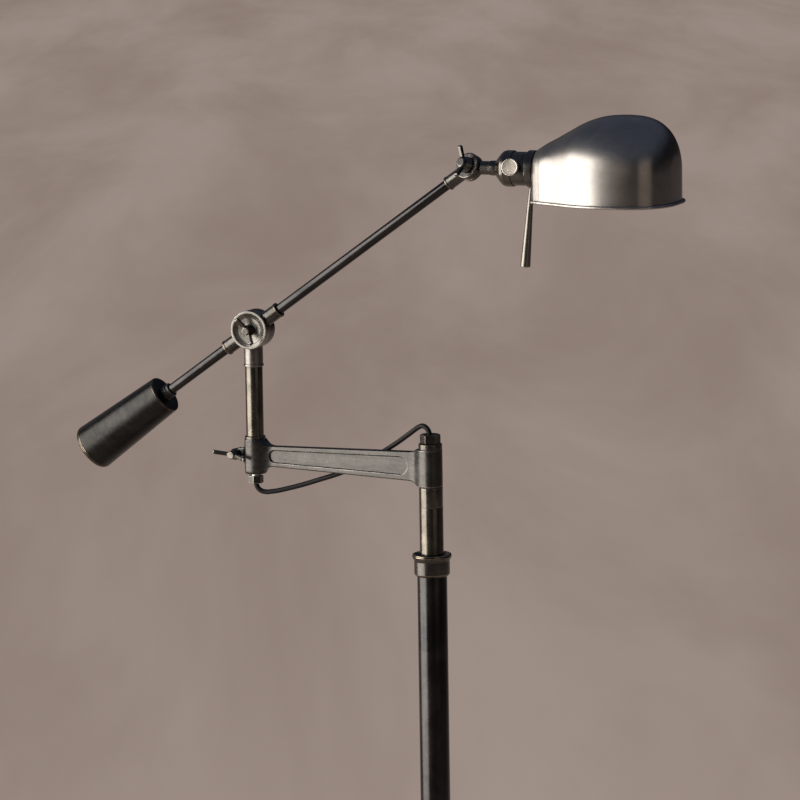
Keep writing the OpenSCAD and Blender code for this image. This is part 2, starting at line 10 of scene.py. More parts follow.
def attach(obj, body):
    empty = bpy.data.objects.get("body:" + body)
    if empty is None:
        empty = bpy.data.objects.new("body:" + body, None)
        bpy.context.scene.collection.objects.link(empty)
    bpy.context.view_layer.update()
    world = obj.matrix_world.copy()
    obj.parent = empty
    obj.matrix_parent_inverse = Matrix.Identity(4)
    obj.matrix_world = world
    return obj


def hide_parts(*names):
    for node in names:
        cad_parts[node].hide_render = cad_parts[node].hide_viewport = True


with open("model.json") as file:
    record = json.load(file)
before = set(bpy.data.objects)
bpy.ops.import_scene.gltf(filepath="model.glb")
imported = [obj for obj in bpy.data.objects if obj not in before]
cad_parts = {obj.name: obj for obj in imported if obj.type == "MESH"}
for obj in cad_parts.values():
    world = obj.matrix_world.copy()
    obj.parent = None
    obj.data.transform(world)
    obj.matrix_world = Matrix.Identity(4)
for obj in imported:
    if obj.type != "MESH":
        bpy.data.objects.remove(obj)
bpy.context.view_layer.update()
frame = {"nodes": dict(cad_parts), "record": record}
nodes = frame["nodes"]
SLOTS = {s["node"]: s["material_slot"] for s in frame["record"]["subparts"]}
BODY = {n: b for b, ns in frame["record"]["behaviour"]["bodies"].items() for n in ns}

MM = 0.001

# ---------------------------------------------------------------------------
# Camera, in the row frame
# ---------------------------------------------------------------------------
EL, AZ, ROLL = math.radians(8.5), math.radians(22.0), math.radians(0.9)
fwd = Vector((-math.sin(AZ) * math.cos(EL), math.cos(AZ) * math.cos(EL), -math.sin(EL)))
right = Vector((math.cos(AZ), math.sin(AZ), 0))
up = Vector((-math.sin(AZ) * math.sin(EL), math.cos(AZ) * math.sin(EL), math.cos(EL)))
cx = right * math.cos(ROLL) - up * math.sin(ROLL)
cy = right * math.sin(ROLL) + up * math.cos(ROLL)
cam_data = bpy.data.cameras.new("camera")
cam_data.lens = 202.5
cam_data.sensor_width = 36
cam_data.sensor_fit = "HORIZONTAL"
cam_data.clip_start, cam_data.clip_end = 0.1, 200
cam = bpy.data.objects.new("camera", cam_data)
bpy.context.scene.collection.objects.link(cam)
m = Matrix.Identity(4)
for i in range(3):
    m[i][0], m[i][1], m[i][2] = cx[i], cy[i], -fwd[i]
m.translation = Vector((1729.57, -4364.22, 1900.71)) * MM
cam.matrix_world = m
bpy.context.scene.camera = cam

# ---------------------------------------------------------------------------
# Dimensions and frames (millimetres), the same numbers as the CAD source
# ---------------------------------------------------------------------------
ARM_LEN, ARM_AZ = 214.0, 173.5
PX = ARM_LEN * math.cos(math.radians(ARM_AZ))
PY = ARM_LEN * math.sin(math.radians(ARM_AZ))
BASE_D, BASE_H = 290.0, 27.0
COLLAR_Z, MAST_OUT, MAST_LEN = 1010.5, 50.0, 384.0
Z_SEAM = COLLAR_Z + 24 + MAST_OUT
Z_ARM = Z_SEAM + 21
Z_ARM0 = Z_ARM + 1.1
Z_ARM1 = Z_ARM0 + 39.1
Z_RING = Z_ARM1 + 0.3
Z_NUT = Z_RING + 6.4
Z_WEB = Z_ARM0 + 20.3
Z_PB0, Z_PB1 = Z_WEB - 22.4, Z_WEB + 16.9
PIVOT_Z, PIVOT_R, PITCH = 1263.7, 20.75, 35.4
BR, BOOM_FRONT, WEIGHT_AT, WEIGHT_L = 5.55, 310.0, 129.5, 111.0
TURN, KNUCKLE_R, SOCKET_R = 31.0, 14.3, 17.75
WEIGHT_D = (42.6, 52.4)
SKIRT, SHADE_T, HANDLE_L, LEAD_D = 31.0, 1.2, 84.0, 5.4
KX = PX + BOOM_FRONT * math.cos(math.radians(PITCH))
KZ = PIVOT_Z + BOOM_FRONT * math.sin(math.radians(PITCH))


def T(x, y, z):
    return Matrix.Translation((x, y, z))


def RX(a):
    return Matrix.Rotation(math.radians(a), 4, "X")


def RY(a):
    return Matrix.Rotation(math.radians(a), 4, "Y")


def RZ(a):
    return Matrix.Rotation(math.radians(a), 4, "Z")


WORLD = Matrix.Identity(4)
POST = T(PX, PY, 0)
ARM = RZ(ARM_AZ)
PIVOT = T(PX, PY, PIVOT_Z)
BOOM = PIVOT @ RY(90 - PITCH)
KNUCKLE = T(KX, PY, KZ) @ RY(90 - PITCH) @ RZ(-TURN)
HEAD = T(KX, PY, KZ) @ RY(90)
DIMMER = HEAD @ T(0, 0, 53.2) @ RZ(-9) @ RX(90)
HANDLE = HEAD @ T(0, 0, 70) @ RY(90 + 5.4)
# ---------------------------------------------------------------------------
# Materials
# ---------------------------------------------------------------------------


class Mat:
    """Small helper round one node tree. Coordinates are the piece's own, in mm."""

    def __init__(self, name, rough=0.4, metallic=1.0, **sockets):
        self.mat = bpy.data.materials.new(name)
        self.mat.use_nodes = True
        self.nt = self.mat.node_tree
        self.nt.nodes.clear()
        self.out = self.nt.nodes.new("ShaderNodeOutputMaterial")
        self.bsdf = self.nt.nodes.new("ShaderNodeBsdfPrincipled")
        self.nt.links.new(self.bsdf.outputs[0], self.out.inputs[0])
        self.bsdf.inputs["Metallic"].default_value = metallic
        self.bsdf.inputs["Roughness"].default_value = rough
        for k, v in sockets.items():
            self.bsdf.inputs[k.replace("_", " ")].default_value = v
        tc = self.nt.nodes.new("ShaderNodeTexCoord")
        self.co = tc.outputs["Object"]

    def link(self, a, b):
        self.nt.links.new(a, b)

    def coords(self, scale):
        n = self.nt.nodes.new("ShaderNodeMapping")
        n.inputs["Scale"].default_value = scale
        self.link(self.co, n.inputs["Vector"])
        return n.outputs[0]

    def noise(self, scale, co=None, detail=4.0, rough=0.55, dist=0.0):
        n = self.nt.nodes.new("ShaderNodeTexNoise")
        n.inputs["Scale"].default_value = scale
        n.inputs["Detail"].default_value = detail
        n.inputs["Roughness"].default_value = rough
        n.inputs["Distortion"].default_value = dist
        self.link(co if co is not None else self.co, n.inputs["Vector"])
        return n.outputs["Fac"]

    def ramp(self, fac, lo, hi, a=0.0, b=1.0):
        n = self.nt.nodes.new("ShaderNodeMapRange")
        n.interpolation_type = "SMOOTHSTEP"
        for k, v in (("From Min", lo), ("From Max", hi), ("To Min", a), ("To Max", b)):
            n.inputs[k].default_value = v
        self.link(fac, n.inputs["Value"])
        return n.outputs[0]

    def math(self, op, a, b):
        n = self.nt.nodes.new("ShaderNodeMath")
        n.operation = op
        for i, v in enumerate((a, b)):
            if isinstance(v, (int, float)):
                n.inputs[i].default_value = v
            else:
                self.link(v, n.inputs[i])
        return n.outputs[0]

    def mix(self, fac, a, b):
        n = self.nt.nodes.new("ShaderNodeMix")
        n.data_type = "RGBA"
        if isinstance(fac, (int, float)):
            n.inputs[0].default_value = fac
        else:
            self.link(fac, n.inputs[0])
        for i, v in ((6, a), (7, b)):
            if isinstance(v, (tuple, list)):
                n.inputs[i].default_value = (*v, 1) if len(v) == 3 else v
            else:
                self.link(v, n.inputs[i])
        return n.outputs[2]

    def bump(self, height, strength, distance, prev=None):
        n = self.nt.nodes.new("ShaderNodeBump")
        n.inputs["Strength"].default_value = strength
        n.inputs["Distance"].default_value = distance
        self.link(height, n.inputs["Height"])
        if prev is not None:
            self.link(prev, n.inputs["Normal"])
        return n.outputs[0]

    def attr(self, name):
        n = self.nt.nodes.new("ShaderNodeAttribute")
        n.attribute_name = name
        return n.outputs["Fac"]


def metal(
    name,
    dark,
    light,
    edge,
    rough,
    spread=0.08,
    grain=(1, 1, 0.05),
    grain_size=900,
    blotch=26,
    bump=0.12,
    wear=0.8,
):
    """Brushed, darkened metal: two tones in soft blotches, fine brushing along
    one direction of the piece's own frame, and brighter worn edges."""
    s = Mat(name, rough)
    brushed = s.coords(grain)
    fine = s.noise(grain_size, brushed, 3, 0.6)
    broad = s.noise(grain_size * 0.22, brushed, 2, 0.5)
    soft = s.noise(blotch, None, 4, 0.6, 0.6)
    spots = s.noise(blotch * 6, None, 3, 0.6)
    tone = s.math("ADD", s.ramp(soft, 0.3, 0.7, 0, 0.62), s.ramp(fine, 0.3, 0.7, 0, 0.28))
    tone = s.math("ADD", tone, s.ramp(spots, 0.45, 0.7, 0, 0.18))
    body = s.mix(tone, dark, light)
    w = s.math("MULTIPLY", s.attr("wear"), s.ramp(spots, 0.3, 0.6, 0.35, 1.0))
    w = s.math("MULTIPLY", w, wear)
    s.link(s.mix(w, body, edge), s.bsdf.inputs["Base Color"])
    r = s.math("ADD", s.ramp(soft, 0.3, 0.7, rough - spread, rough + spread), s.ramp(broad, 0.3, 0.7, -spread * 0.7, spread * 0.7))
    r = s.math("SUBTRACT", r, s.math("MULTIPLY", w, 0.08))
    s.link(r, s.bsdf.inputs["Roughness"])
    nrm = s.bump(fine, bump * 0.35, 0.00002)
    nrm = s.bump(soft, 0.05, 0.0001, nrm)
    s.link(nrm, s.bsdf.inputs["Normal"])
    return s.mat


BRASSY = (0.44, 0.36, 0.24)
STEEL_EDGE = (0.62, 0.60, 0.56)
M = {}
M["gunmetal_tube"] = metal("gunmetal_tube", (0.026, 0.026, 0.028), (0.054, 0.053, 0.053), STEEL_EDGE, 0.24, 0.03, (1, 1, 0.03), 600, 18, 0.01)
M["mast_tube"] = metal("mast_metal", (0.070, 0.066, 0.056), (0.14, 0.130, 0.112), STEEL_EDGE, 0.21, 0.03, (0.5, 0.5, 0.12), 500, 60, 0.04)
M["gunmetal_turned"] = metal("gunmetal_turned", (0.045, 0.044, 0.043), (0.105, 0.10, 0.092), BRASSY, 0.27, 0.04, (0.05, 0.05, 1), 1200, 40, 0.03)
M["head_turned"] = metal("head_turned", (0.065, 0.064, 0.064), (0.13, 0.125, 0.118), BRASSY, 0.26, 0.04, (0.05, 0.05, 1), 1200, 40, 0.03, 0.45)
M["arm_cast"] = metal("arm_cast", (0.038, 0.038, 0.037), (0.075, 0.073, 0.070), STEEL_EDGE, 0.31, 0.05, (0.06, 1, 1), 900, 45, 0.08, 0.75)
M["pivot_steel"] = metal("pivot_steel", (0.125, 0.121, 0.113), (0.20, 0.193, 0.18), STEEL_EDGE, 0.32, 0.04, (1, 1, 1), 900, 50, 0.03, 0.5)
M["handle_steel"] = metal("handle_steel", (0.12, 0.115, 0.105), (0.21, 0.20, 0.185), (0.5, 0.48, 0.44), 0.28, 0.04, (1, 1, 0.05), 900, 60, 0.02)
M["screw_dark"] = metal("screw_dark", (0.055, 0.052, 0.047), (0.13, 0.122, 0.11), STEEL_EDGE, 0.25, 0.05, (1, 1, 0.3), 900, 120, 0.03)
M["bright_steel"] = metal("bright_steel", (0.30, 0.285, 0.26), (0.46, 0.44, 0.40), (0.66, 0.63, 0.58), 0.33, 0.04, (1, 1, 0.05), 900, 40, 0.03)
M["counterweight"] = metal("counterweight_metal", (0.016, 0.016, 0.016), (0.040, 0.039, 0.038), BRASSY, 0.33, 0.04, (0.04, 0.04, 1), 1200, 22, 0.04)
M["shade_metal"] = metal("shade_metal", (0.225, 0.219, 0.213), (0.30, 0.290, 0.278), (0.60, 0.57, 0.52), 0.30, 0.014, (0.035, 1.0, 1.0), 1100, 30, 0.05, 0.7)
M["zinc_hardware"] = metal("zinc_hardware", (0.40, 0.40, 0.39), (0.56, 0.56, 0.54), (0.7, 0.7, 0.68), 0.38)
M["base_shell"] = metal("base_metal", (0.085, 0.085, 0.086), (0.16, 0.155, 0.15), STEEL_EDGE, 0.38, 0.06, (0.3, 0.3, 1), 500, 14, 0.08)
M["contact_brass"] = metal("contact_brass", (0.55, 0.40, 0.16), (0.72, 0.55, 0.26), (0.8, 0.65, 0.35), 0.35)
M["bulb_alu"] = metal("bulb_alu", (0.55, 0.55, 0.55), (0.72, 0.72, 0.72), (0.8, 0.8, 0.8), 0.32)


def coated(name, base, other, rough, scale, bump, dist, metallic=0.0, **sockets):
    """Plastic, rubber or cast iron: mottled colour, uneven roughness, fine relief."""
    s = Mat(name, rough, metallic, **sockets)
    soft = s.noise(scale * 0.15, None, 4, 0.55)
    fine = s.noise(scale, None, 3, 0.6)
    s.link(s.mix(s.math("ADD", s.ramp(soft, 0.3, 0.7, 0, 0.6), s.ramp(fine, 0.35, 0.65, 0, 0.4)), base, other), s.bsdf.inputs["Base Color"])
    s.link(s.ramp(soft, 0.3, 0.7, rough - 0.07, rough + 0.07), s.bsdf.inputs["Roughness"])
    s.link(s.bump(fine, bump, dist), s.bsdf.inputs["Normal"])
    return s.mat


M["black_rubber"] = coated("black_rubber", (0.012, 0.012, 0.013), (0.022, 0.022, 0.023), 0.62, 900, 0.3, 0.0001)
M["lead_jacket"] = coated("lead_jacket", (0.004, 0.004, 0.005), (0.010, 0.010, 0.012), 0.5, 700, 0.10, 0.00005, Specular_IOR_Level=0.14)
M["nylon_bush"] = coated("nylon_bush", (0.62, 0.60, 0.55), (0.70, 0.68, 0.63), 0.45, 500, 0.1, 0.00005)
M["phenolic"] = coated("phenolic", (0.012, 0.012, 0.012), (0.025, 0.024, 0.023), 0.40, 600, 0.15, 0.00006)
M["porcelain_white"] = coated("porcelain_white", (0.72, 0.70, 0.66), (0.80, 0.78, 0.74), 0.18, 300, 0.05, 0.00004)
M["iron_weight"] = coated("iron_weight", (0.035, 0.034, 0.033), (0.075, 0.07, 0.066), 0.62, 350, 0.5, 0.0003, 0.6)

g = Mat("bulb_glass", 0.28, 0.0, IOR=1.45)
g_soft = g.noise(30, None, 3, 0.5)
g.link(g.mix(g.ramp(g_soft, 0.3, 0.7), (0.84, 0.83, 0.80), (0.90, 0.89, 0.86)), g.bsdf.inputs["Base Color"])
g.link(g.ramp(g_soft, 0.3, 0.7, 0.24, 0.34), g.bsdf.inputs["Roughness"])
g.bsdf.inputs["Transmission Weight"].default_value = 0.55
M["bulb_glass"] = g.mat

for name, ob in nodes.items():
    ob.data.materials.clear()
    ob.data.materials.append(M[SLOTS[name]])

# ---------------------------------------------------------------------------
# Mesh makers
# ---------------------------------------------------------------------------


def place(ob, matrix, body, slot, cad=(), material=None):
    m4 = matrix.copy()
    m4.translation = m4.translation * MM
    ob.matrix_world = m4
    bpy.context.scene.collection.objects.link(ob)
    ob.data.materials.append(M[material or slot])
    bpy.context.view_layer.update()
    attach(ob, body)
    if cad:
        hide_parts(*cad)
    return ob


def mesh_object(name, verts, faces, wear=None, normals=None):
    me = bpy.data.meshes.new(name)
    me.from_pydata((np.asarray(verts) * MM).tolist(), [], faces)
    me.validate()
    me.update()
    a = me.attributes.new("wear", "FLOAT", "POINT")
    if wear is not None:
        a.data.foreach_set("value", np.asarray(wear, dtype=np.float32))
    me.shade_smooth()
    return bpy.data.objects.new(name, me)


def fillet(points, closed=True, n=5):
    """Points are (r, z) or (r, z, radius). Rounds each corner that has a radius.
    Returns the rounded outline with a wear value per point."""
    pts = [(p[0], p[1], p[2] if len(p) > 2 else 0.0) for p in points]
    out = []
    k = len(pts)
    for i, (x, y, rad) in enumerate(pts):
        p = np.array((x, y))
        a = np.array(pts[(i - 1) % k][:2])
        b = np.array(pts[(i + 1) % k][:2])
        if rad <= 0:
            out.append((x, y, 0.0))
            continue
        u, v = a - p, b - p
        lu, lv = np.linalg.norm(u), np.linalg.norm(v)
        u, v = u / lu, v / lv
        ang = math.acos(max(-1, min(1, float(u @ v))))
        if ang > math.pi - 0.03:
            out.append((x, y, 0.0))
            continue
        d = min(rad / math.tan(ang / 2), 0.48 * lu, 0.48 * lv)
        rr = d * math.tan(ang / 2)
        c = p + (u + v) / np.linalg.norm(u + v) * (rr / math.sin(ang / 2))
        s0, s1 = p + u * d, p + v * d
        a0 = math.atan2(*(s0 - c)[::-1])
        a1 = math.atan2(*(s1 - c)[::-1])
        da = (a1 - a0 + math.pi) % (2 * math.pi) - math.pi
        turn = u[0] * v[1] - u[1] * v[0]
        out.append((s0[0], s0[1], 0.0))
        for j in range(1, n):
            t = a0 + da * j / n
            out.append((c[0] + rr * math.cos(t), c[1] + rr * math.sin(t), 1.0 if turn < 0 else -1.0))
        out.append((s1[0], s1[1], 0.0))
    return out


def lathe(name, profile, matrix, node=None, n=96, slot=None, body=None, material=None, default=0.25, cad=None, arcs=5):
    """Solid of revolution about local z from a closed (r, z[, radius]) outline.
    Convex corners get a small rounding and a wear mark."""
    pts = [p if len(p) > 2 or p[0] == 0 else (p[0], p[1], default) for p in profile]
    pts = [(p[0], p[1], p[2]) if len(p) > 2 else (p[0], p[1], 0.0) for p in pts]
    area = sum(
        pts[i][0] * pts[(i + 1) % len(pts)][1] - pts[(i + 1) % len(pts)][0] * pts[i][1]
        for i in range(len(pts))
    )
    if area < 0:
        pts = pts[::-1]
    out = fillet(pts, True, arcs)
    clean = []
    for p in out:
        if not clean or abs(p[0] - clean[-1][0]) + abs(p[1] - clean[-1][1]) > 1e-6:
            clean.append(p)
    if abs(clean[0][0] - clean[-1][0]) + abs(clean[0][1] - clean[-1][1]) < 1e-6:
        clean.pop()
    out = clean
    verts, wear, rings = [], [], []
    for r, z, w in out:
        if r < 1e-6:
            rings.append([len(verts)])
            verts.append((0, 0, z))
            wear.append(0)
        else:
            rings.append(list(range(len(verts), len(verts) + n)))
            for i in range(n):
                t = 2 * math.pi * i / n
                verts.append((r * math.cos(t), r * math.sin(t), z))
                wear.append(max(0.0, w))
    faces = []
    k = len(rings)
    for i in range(k):
        a, b = rings[i], rings[(i + 1) % k]
        if len(a) == 1 and len(b) == 1:
            continue
        for j in range(n):
            j2 = (j + 1) % n
            if len(a) == 1:
                faces.append((a[0], b[j2], b[j]))
            elif len(b) == 1:
                faces.append((a[j], a[j2], b[0]))
            else:
                faces.append((a[j], a[j2], b[j2], b[j]))
    ob = mesh_object(name, verts, faces, wear)
    sharpen(ob)
    names = cad if cad is not None else ((node,) if node else ())
    key = node or names[0]
    return place(ob, matrix, body or BODY[key], slot or SLOTS[key], names, material)


def sharpen(ob, angle=38):
    """Marks edges sharper than the angle, so flat faces stay flat."""
    me = ob.data
    bm = bmesh.new()
    bm.from_mesh(me)
    bmesh.ops.recalc_face_normals(bm, faces=bm.faces)
    lim = math.radians(angle)
    for e in bm.edges:
        if len(e.link_faces) == 2:
            e.smooth = e.calc_face_angle(0) < lim
    bm.to_mesh(me)
    bm.free()


# --- implicit solids, for castings and other blended forms -----------------


def smin(a, b, k):
    h = np.clip(0.5 + 0.5 * (b - a) / k, 0, 1)
    return b * (1 - h) + a * h - k * h * (1 - h)


def smax(a, b, k):
    return -smin(-a, -b, k)


def rect(x, y, hx, hy, r=0.0):
    qx, qy = np.abs(x) - hx + r, np.abs(y) - hy + r
    return np.hypot(np.maximum(qx, 0), np.maximum(qy, 0)) + np.minimum(np.maximum(qx, qy), 0) - r


def cyl(rad, t, r, lo, hi, edge=0.4):
    """Cylinder from radial distance rad and axial coordinate t."""
    return rect(rad, t - (lo + hi) / 2, r, (hi - lo) / 2, edge)


def convex(x, y, pts):
    """Distance to a convex polygon given anticlockwise (bound inside, exact near faces)."""
    d = None
    k = len(pts)
    for i in range(k):
        (x0, y0), (x1, y1) = pts[i], pts[(i + 1) % k]
        ln = math.hypot(x1 - x0, y1 - y0)
        nx, ny = (y1 - y0) / ln, -(x1 - x0) / ln
        e = (x - x0) * nx + (y - y0) * ny
        d = e if d is None else np.maximum(d, e)
    return d


def capsule2(x, y, a, b, ra, rb):
    """Tapered capsule in the plane."""
    ax, ay = a
    bx, by = b
    ln = math.hypot(bx - ax, by - ay)
    ux, uy = (bx - ax) / ln, (by - ay) / ln
    px, py = x - ax, y - ay
    t = px * ux + py * uy
    h = np.abs(-px * uy + py * ux)
    s = (ra - rb) / ln
    c = math.sqrt(max(1e-9, 1 - s * s))
    k = np.clip(t + h * s / c, 0, ln)
    return np.hypot(t - k, h) - (ra - s * k)


def nets(name, fn, lo, hi, h, wear_k=None):
    """Surface nets over fn(x, y, z) in mm, then each vertex is moved onto fn = 0."""
    ax = [np.arange(lo[i] - 1.5 * h, hi[i] + 1.6 * h, h) for i in range(3)]
    X, Y, Z = np.meshgrid(*ax, indexing="ij", sparse=False)
    F = fn(X, Y, Z).astype(np.float64)
    S = F < 0
    nx, ny, nz = F.shape
    corners = [(i, j, k) for i in (0, 1) for j in (0, 1) for k in (0, 1)]
    cnt = sum(S[i : nx - 1 + i, j : ny - 1 + j, k : nz - 1 + k].astype(np.int8) for i, j, k in corners)
    cells = np.argwhere((cnt > 0) & (cnt < 8))
    idx = -np.ones((nx - 1, ny - 1, nz - 1), dtype=np.int64)
    idx[tuple(cells.T)] = np.arange(len(cells))
    acc = np.zeros((len(cells), 3))
    num = np.zeros(len(cells))
    ci, cj, ck = cells.T
    for a in corners:
        for d in range(3):
            if a[d]:
                continue
            b = tuple(a[q] + (q == d) for q in range(3))
            fa = F[ci + a[0], cj + a[1], ck + a[2]]
            fb = F[ci + b[0], cj + b[1], ck + b[2]]
            on = (fa < 0) != (fb < 0)
            t = np.where(on, fa / np.where(fa == fb, 1, fa - fb), 0)
            p = np.array(a, float)[None, :] + t[:, None] * (np.array(b) - np.array(a))[None, :]
            acc += np.where(on[:, None], p, 0)
            num += on
    P = (cells + acc / num[:, None]) * h + np.array([ax[0][0], ax[1][0], ax[2][0]])
    e = 0.02

    def grad(P):
        g = np.empty_like(P)
        for d in range(3):
            q = P.copy()
            q[:, d] += e
            r = P.copy()
            r[:, d] -= e
            g[:, d] = (fn(*q.T) - fn(*r.T)) / (2 * e)
        return g

    for _ in range(4):
        g = grad(P)
        f = fn(*P.T)
        step = f / np.maximum((g * g).sum(1), 0.05)
        P = P - np.clip(step, -0.6 * h, 0.6 * h)[:, None] * g
    faces = []
    for d in range(3):
        o1, o2 = (d + 1) % 3, (d + 2) % 3
        sl_a = [slice(None)] * 3
        sl_b = [slice(None)] * 3
        sl_a[d], sl_b[d] = slice(0, -1), slice(1, None)
        A, B = S[tuple(sl_a)], S[tuple(sl_b)]
        for inside_first in (True, False):
            e_idx = np.argwhere((A & ~B) if inside_first else (~A & B))
            if not len(e_idx):
                continue
            quad = []
            for s1, s2 in ((0, 0), (-1, 0), (-1, -1), (0, -1)):
                q = e_idx.copy()
                q[:, o1] += s1
                q[:, o2] += s2
                quad.append(idx[tuple(q.T)])
            quad = np.stack(quad, 1)
            if not inside_first:
                quad = quad[:, ::-1]
            faces.append(quad)
    quads = np.concatenate(faces)
    # mark where the surface turns convex, from how the normal diverges
    g = grad(P)
    nrm = g / np.maximum(np.linalg.norm(g, axis=1), 1e-9)[:, None]
    k = 0.45
    outside = fn(*(P + nrm * k).T)
    w = np.zeros(len(P))
    tang = np.cross(nrm, np.where(np.abs(nrm[:, :1]) < 0.8, [[1.0, 0, 0]], [[0, 1.0, 0]]))
    tang /= np.linalg.norm(tang, axis=1)[:, None]
    bit = np.cross(nrm, tang)
    for v in (tang, -tang, bit, -bit):
        w += fn(*(P + v * 0.7).T)
    wear = np.clip((w / 4 - 0.06) / 0.12, 0, 1)
    me = bpy.data.meshes.new(name)
    me.from_pydata((P * MM).tolist(), [], quads.tolist())
    me.validate()
    me.update()
    a = me.attributes.new("wear", "FLOAT", "POINT")
    a.data.foreach_set("value", wear.astype(np.float32))
    me.shade_smooth()
    if len(me.vertices) == len(nrm):
        me.normals_split_custom_set_from_vertices(nrm.tolist())
    return bpy.data.objects.new(name, me)


def implicit(name, fn, lo, hi, h, matrix, node, material=None):
    ob = nets(name, fn, lo, hi, h)
    return place(ob, matrix, BODY[node], SLOTS[node], (node,), material)


# ---------------------------------------------------------------------------
# The link lead, first because its room is checked
# ---------------------------------------------------------------------------
ROUTE = [
    (214, 0, 1099), (213.7, 0, 1094.5), (212.3, -0.3, 1091.2), (210, -0.8, 1088.6),
    (207, -1.5, 1087), (203.5, -2.2, 1086.4), (196, -3.2, 1087.2), (186, -4.5, 1089.2),
    (163, -7, 1095.5), (140, -8.6, 1103), (114, -8.9, 1112), (84, -8.9, 1125),
    (54, -8.9, 1143), (40, -8.2, 1152), (28, -6.6, 1160.2), (20.5, -5, 1165.2),
    (16, -4, 1168), (13, -3.2, 1169.4), (10, -2.5, 1170), (6.5, -1.6, 1169.2),
    (3.3, -0.8, 1166.8), (1.2, -0.3, 1163.3), (0.3, 0, 1160), (0, 0, 1156),
]


def catmull(p, n, ends=True):
    p = [np.array(q, float) for q in p]
    out = []
    for i in range(len(p) - 1):
        a, b, c, d = p[max(i - 1, 0)], p[i], p[i + 1], p[min(i + 2, len(p) - 1)]
        for j in range(n):
            t = j / n
            out.append(0.5 * (2 * b + (c - a) * t + (2 * a - 5 * b + 4 * c - d) * t * t + (3 * b - a - 3 * c + d) * t**3))
    out.append(p[-1])
    return out


lead_pts = catmull(ROUTE, 6)
lead_pts = [ARM @ Vector(p) for p in lead_pts]
dense = np.array([list(p) for p in lead_pts])
seg = np.linalg.norm(np.diff(dense, axis=0), axis=1)
run = np.concatenate([[0], np.cumsum(seg)])
even = np.stack([np.interp(np.linspace(0, run[-1], 40), run, dense[:, i]) for i in range(3)], 1)
cu = bpy.data.curves.new("link_lead_cord", "CURVE")
cu.dimensions = "3D"
sp = cu.splines.new("BEZIER")
sp.bezier_points.add(len(even) - 1)
for bp, p in zip(sp.bezier_points, even, strict=True):
    bp.co = Vector(p) * MM
    bp.handle_left_type = bp.handle_right_type = "AUTO"
sp.resolution_u = 8
cu.bevel_depth = LEAD_D / 2 * MM
cu.bevel_resolution = 8
cu.use_fill_caps = True
lead = bpy.data.objects.new("link_lead_cord", cu)
bpy.context.scene.collection.objects.link(lead)
cu.materials.append(M["lead_jacket"])
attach(lead, "arm")
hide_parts("link_lead")

# ---------------------------------------------------------------------------
# Base and column
# ---------------------------------------------------------------------------
R = BASE_D / 2
LR, LI, UR, UI = 15.875, 14.275, 12.7, 11.2


def ring(a, b, c, d, e=0.3):
    return [(b, c, 0.15), (a, c, e), (a, d, e), (b, d, 0.15)]


H = BASE_H
lathe("base_shell", [
    (8.3, H), (24, H, 6), (60, H - 1.5, 20), (R - 40, H - 4.5, 40), (R - 16, 20, 20),
    (R - 7, 17.5, 10), (R - 2, 14.5, 4), (R, 11, 3), (R, 2, 0.4), (R - 1.2, 2, 0.2),
    (R - 1.2, 10.8, 2), (R - 2.9, 13.6, 3), (R - 7.4, 16.4, 6), (R - 16.3, 18.8, 10),
    (R - 40.1, H - 5.7, 20), (60, H - 2.7, 10), (24, H - 1.2, 3), (8.3, H - 1.2)],
    WORLD, "base_cover", n=160)
lathe("column_foot_ferrule", [
    (8.1, H), (34, H, 0.3), (34, H + 2.5, 0.8), (32.5, H + 4, 0.8), (24, H + 5.5, 3),
    (20.6, H + 8, 3), (19.6, H + 12, 2), (19.6, H + 26, 0.6), (18.6, H + 27.5, 0.6),
    (LR, H + 27.5, 0.2), (LR, H + 4, 0.1), (8.1, H + 4)], WORLD, "column_foot")
lathe("lower_tube", ring(LR, LI, H + 4, COLLAR_Z + 13.5), WORLD, "column_lower_tube", n=128)
C = COLLAR_Z
lathe("height_collar_nut", [
    (LR + 0.08, C, 0.2), (LR + 1.3, C, 0.6), (LR + 3.1, C + 2.3, 0.9), (LR + 3.1, C + 16, 2.5),
    (LR + 3.7, C + 18, 2), (LR + 4.7, C + 19.3, 1), (LR + 5.25, C + 21.2, 1.6),
    (LR + 4.9, C + 23.2, 1.2), (LR + 3.3, C + 24, 1.5), (LR + 1.6, C + 23.3, 1.2),
    (LR - 0.3, C + 20.8, 1), (LR - 1.7, C + 19.1, 0.8), (UR + 0.4, C + 18.7, 0.2),
    (UR + 0.4, C + 16.9, 0.1), (LR + 0.08, C + 16.9, 0.1)], WORLD, "height_collar", n=128)
lathe("upper_tube", ring(UR, UI, Z_SEAM - MAST_LEN, Z_SEAM, 0.15), WORLD, "mast_tube", n=128, material="mast_tube")
lathe("mast_cap_sleeve", [
    (7, Z_SEAM - 12.5), (UI, Z_SEAM - 12.5), (UI, Z_SEAM, 0.05), (UR - 0.3, Z_SEAM, 0.1),
    (UR, Z_SEAM + 0.4, 0.2), (UR, Z_ARM - 0.4, 0.2), (UR - 0.4, Z_ARM, 0.2), (7, Z_ARM)],
    WORLD, "mast_cap", n=128, material="mast_tube")
lathe("top_ring_turned", [
    (7, Z_RING), (UR - 0.6, Z_RING, 0.3), (UR - 0.1, Z_RING + 0.6, 0.3), (UR - 0.1, Z_NUT - 1, 0.5),
    (UR - 0.9, Z_NUT, 0.4), (7, Z_NUT)], WORLD, "top_ring")


